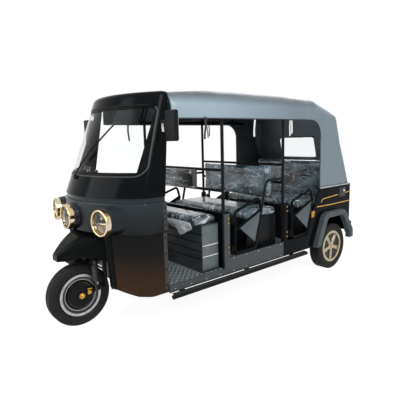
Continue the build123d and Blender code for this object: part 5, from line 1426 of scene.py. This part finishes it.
class RICKSHAW_OT_step_pads(bpy.types.Operator):
    """Lay the treads on the side steps, put painted light and painted highlight lines on the seat box's sides and
    rivet the sills
    """

    bl_idname = "rickshaw.step_pads"
    bl_label = "Step treads and rivets"

    def execute(self, context):
        low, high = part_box("side_steps")
        treads, rivets = bmesh.new(), bmesh.new()
        for side in (1, -1):
            seam, edge = span(side, 0.6105, high.y - 0.010)
            box_of(treads, (low.x + 0.01, seam, high.z - 0.012), (high.x - 0.01, edge, high.z - 0.006))
            for k in range(3):
                y = side * (0.616 + 0.008 * k)
                foot, head = high.z - 0.006, high.z - 0.004
                box_of(treads, (low.x + 0.02, y - 0.002, foot), (high.x - 0.02, y + 0.002, head))
            for k in range(9):
                behind = 0.052 + 0.156 * k
                for height in (0.322, 0.430):
                    if height > 0.4 and not 0.60 < behind < 1.34:
                        continue
                    place = (POST_X - behind, side * 0.610, height)
                    lathe(rivets, RIVET, place, (0, side, 0), 10)
        box_low, box_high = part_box("driver_seat_box")
        sides, highlight_lines = bmesh.new(), bmesh.new()
        for side in (1, -1):
            # Paler sheets on the seat box's sides: painted light.
            near, far = span(side, box_high.y + 0.0004, box_high.y + 0.0018)
            box_of(sides, (box_low.x + 0.006, near, box_low.z + 0.02), (box_high.x - 0.004, far, box_high.z - 0.01))
            near, far = span(side, box_high.y + 0.0018, box_high.y + 0.0032)
            # White lines along the ledges of the seat box: painted highlights.
            for share in (0.33, 0.56):
                z = box_low.z + (box_high.z - box_low.z) * share
                box_of(highlight_lines, (box_low.x + 0.006, near, z), (box_high.x - 0.006, far, z + 0.005))
        piece("seat_box_sides", sides, CHASSIS, "side_grey")
        piece("seat_box_lines", highlight_lines, CHASSIS, "plate")
        piece("step_treads", treads, CHASSIS, "dark_rubber")
        piece("sill_rivets", rivets, CHASSIS, "rim_steel", 60)
        return {"FINISHED"}


class RICKSHAW_PT_panel(bpy.types.Panel):
    """Lists the sizes, colours and pieces"""

    bl_label = "Auto rickshaw"
    bl_idname = "RICKSHAW_PT_panel"
    bl_space_type = "VIEW_3D"
    bl_region_type = "UI"
    bl_category = "Rickshaw"

    def draw(self, context):
        for group in (context.scene.rickshaw_sizes, context.scene.rickshaw_colours):
            for name in group.__annotations__:
                self.layout.prop(group, name)
        for maker in MAKERS:
            self.layout.operator(maker.bl_idname)


MAKERS = [
    RICKSHAW_OT_stage,
    RICKSHAW_OT_coats,
    RICKSHAW_OT_tyres,
    RICKSHAW_OT_lamps,
    RICKSHAW_OT_wheel_trim,
    RICKSHAW_OT_canopy,
    RICKSHAW_OT_seats,
    RICKSHAW_OT_screen_trim,
    RICKSHAW_OT_mirrors,
    RICKSHAW_OT_straps,
    RICKSHAW_OT_rear_trim,
    RICKSHAW_OT_door_trim,
    RICKSHAW_OT_film_flap,
    RICKSHAW_OT_front_trim,
    RICKSHAW_OT_step_pads,
]
CLASSES = [RickshawSizes, RickshawColours, *MAKERS, RICKSHAW_PT_panel]


def register():
    """Register the classes and hang the sizes and colours on the scene."""
    for kind in CLASSES:
        bpy.utils.register_class(kind)
    bpy.types.Scene.rickshaw_sizes = PointerProperty(type=RickshawSizes)
    bpy.types.Scene.rickshaw_colours = PointerProperty(type=RickshawColours)


def unregister():
    """Take the classes and the scene's properties away."""
    del bpy.types.Scene.rickshaw_colours
    del bpy.types.Scene.rickshaw_sizes
    for kind in reversed(CLASSES):
        bpy.utils.unregister_class(kind)


def main():
    """Build every piece in order."""
    register()
    for maker in MAKERS:
        group, name = maker.bl_idname.split(".")
        getattr(getattr(bpy.ops, group), name)()


if __name__ == "__main__":
    main()
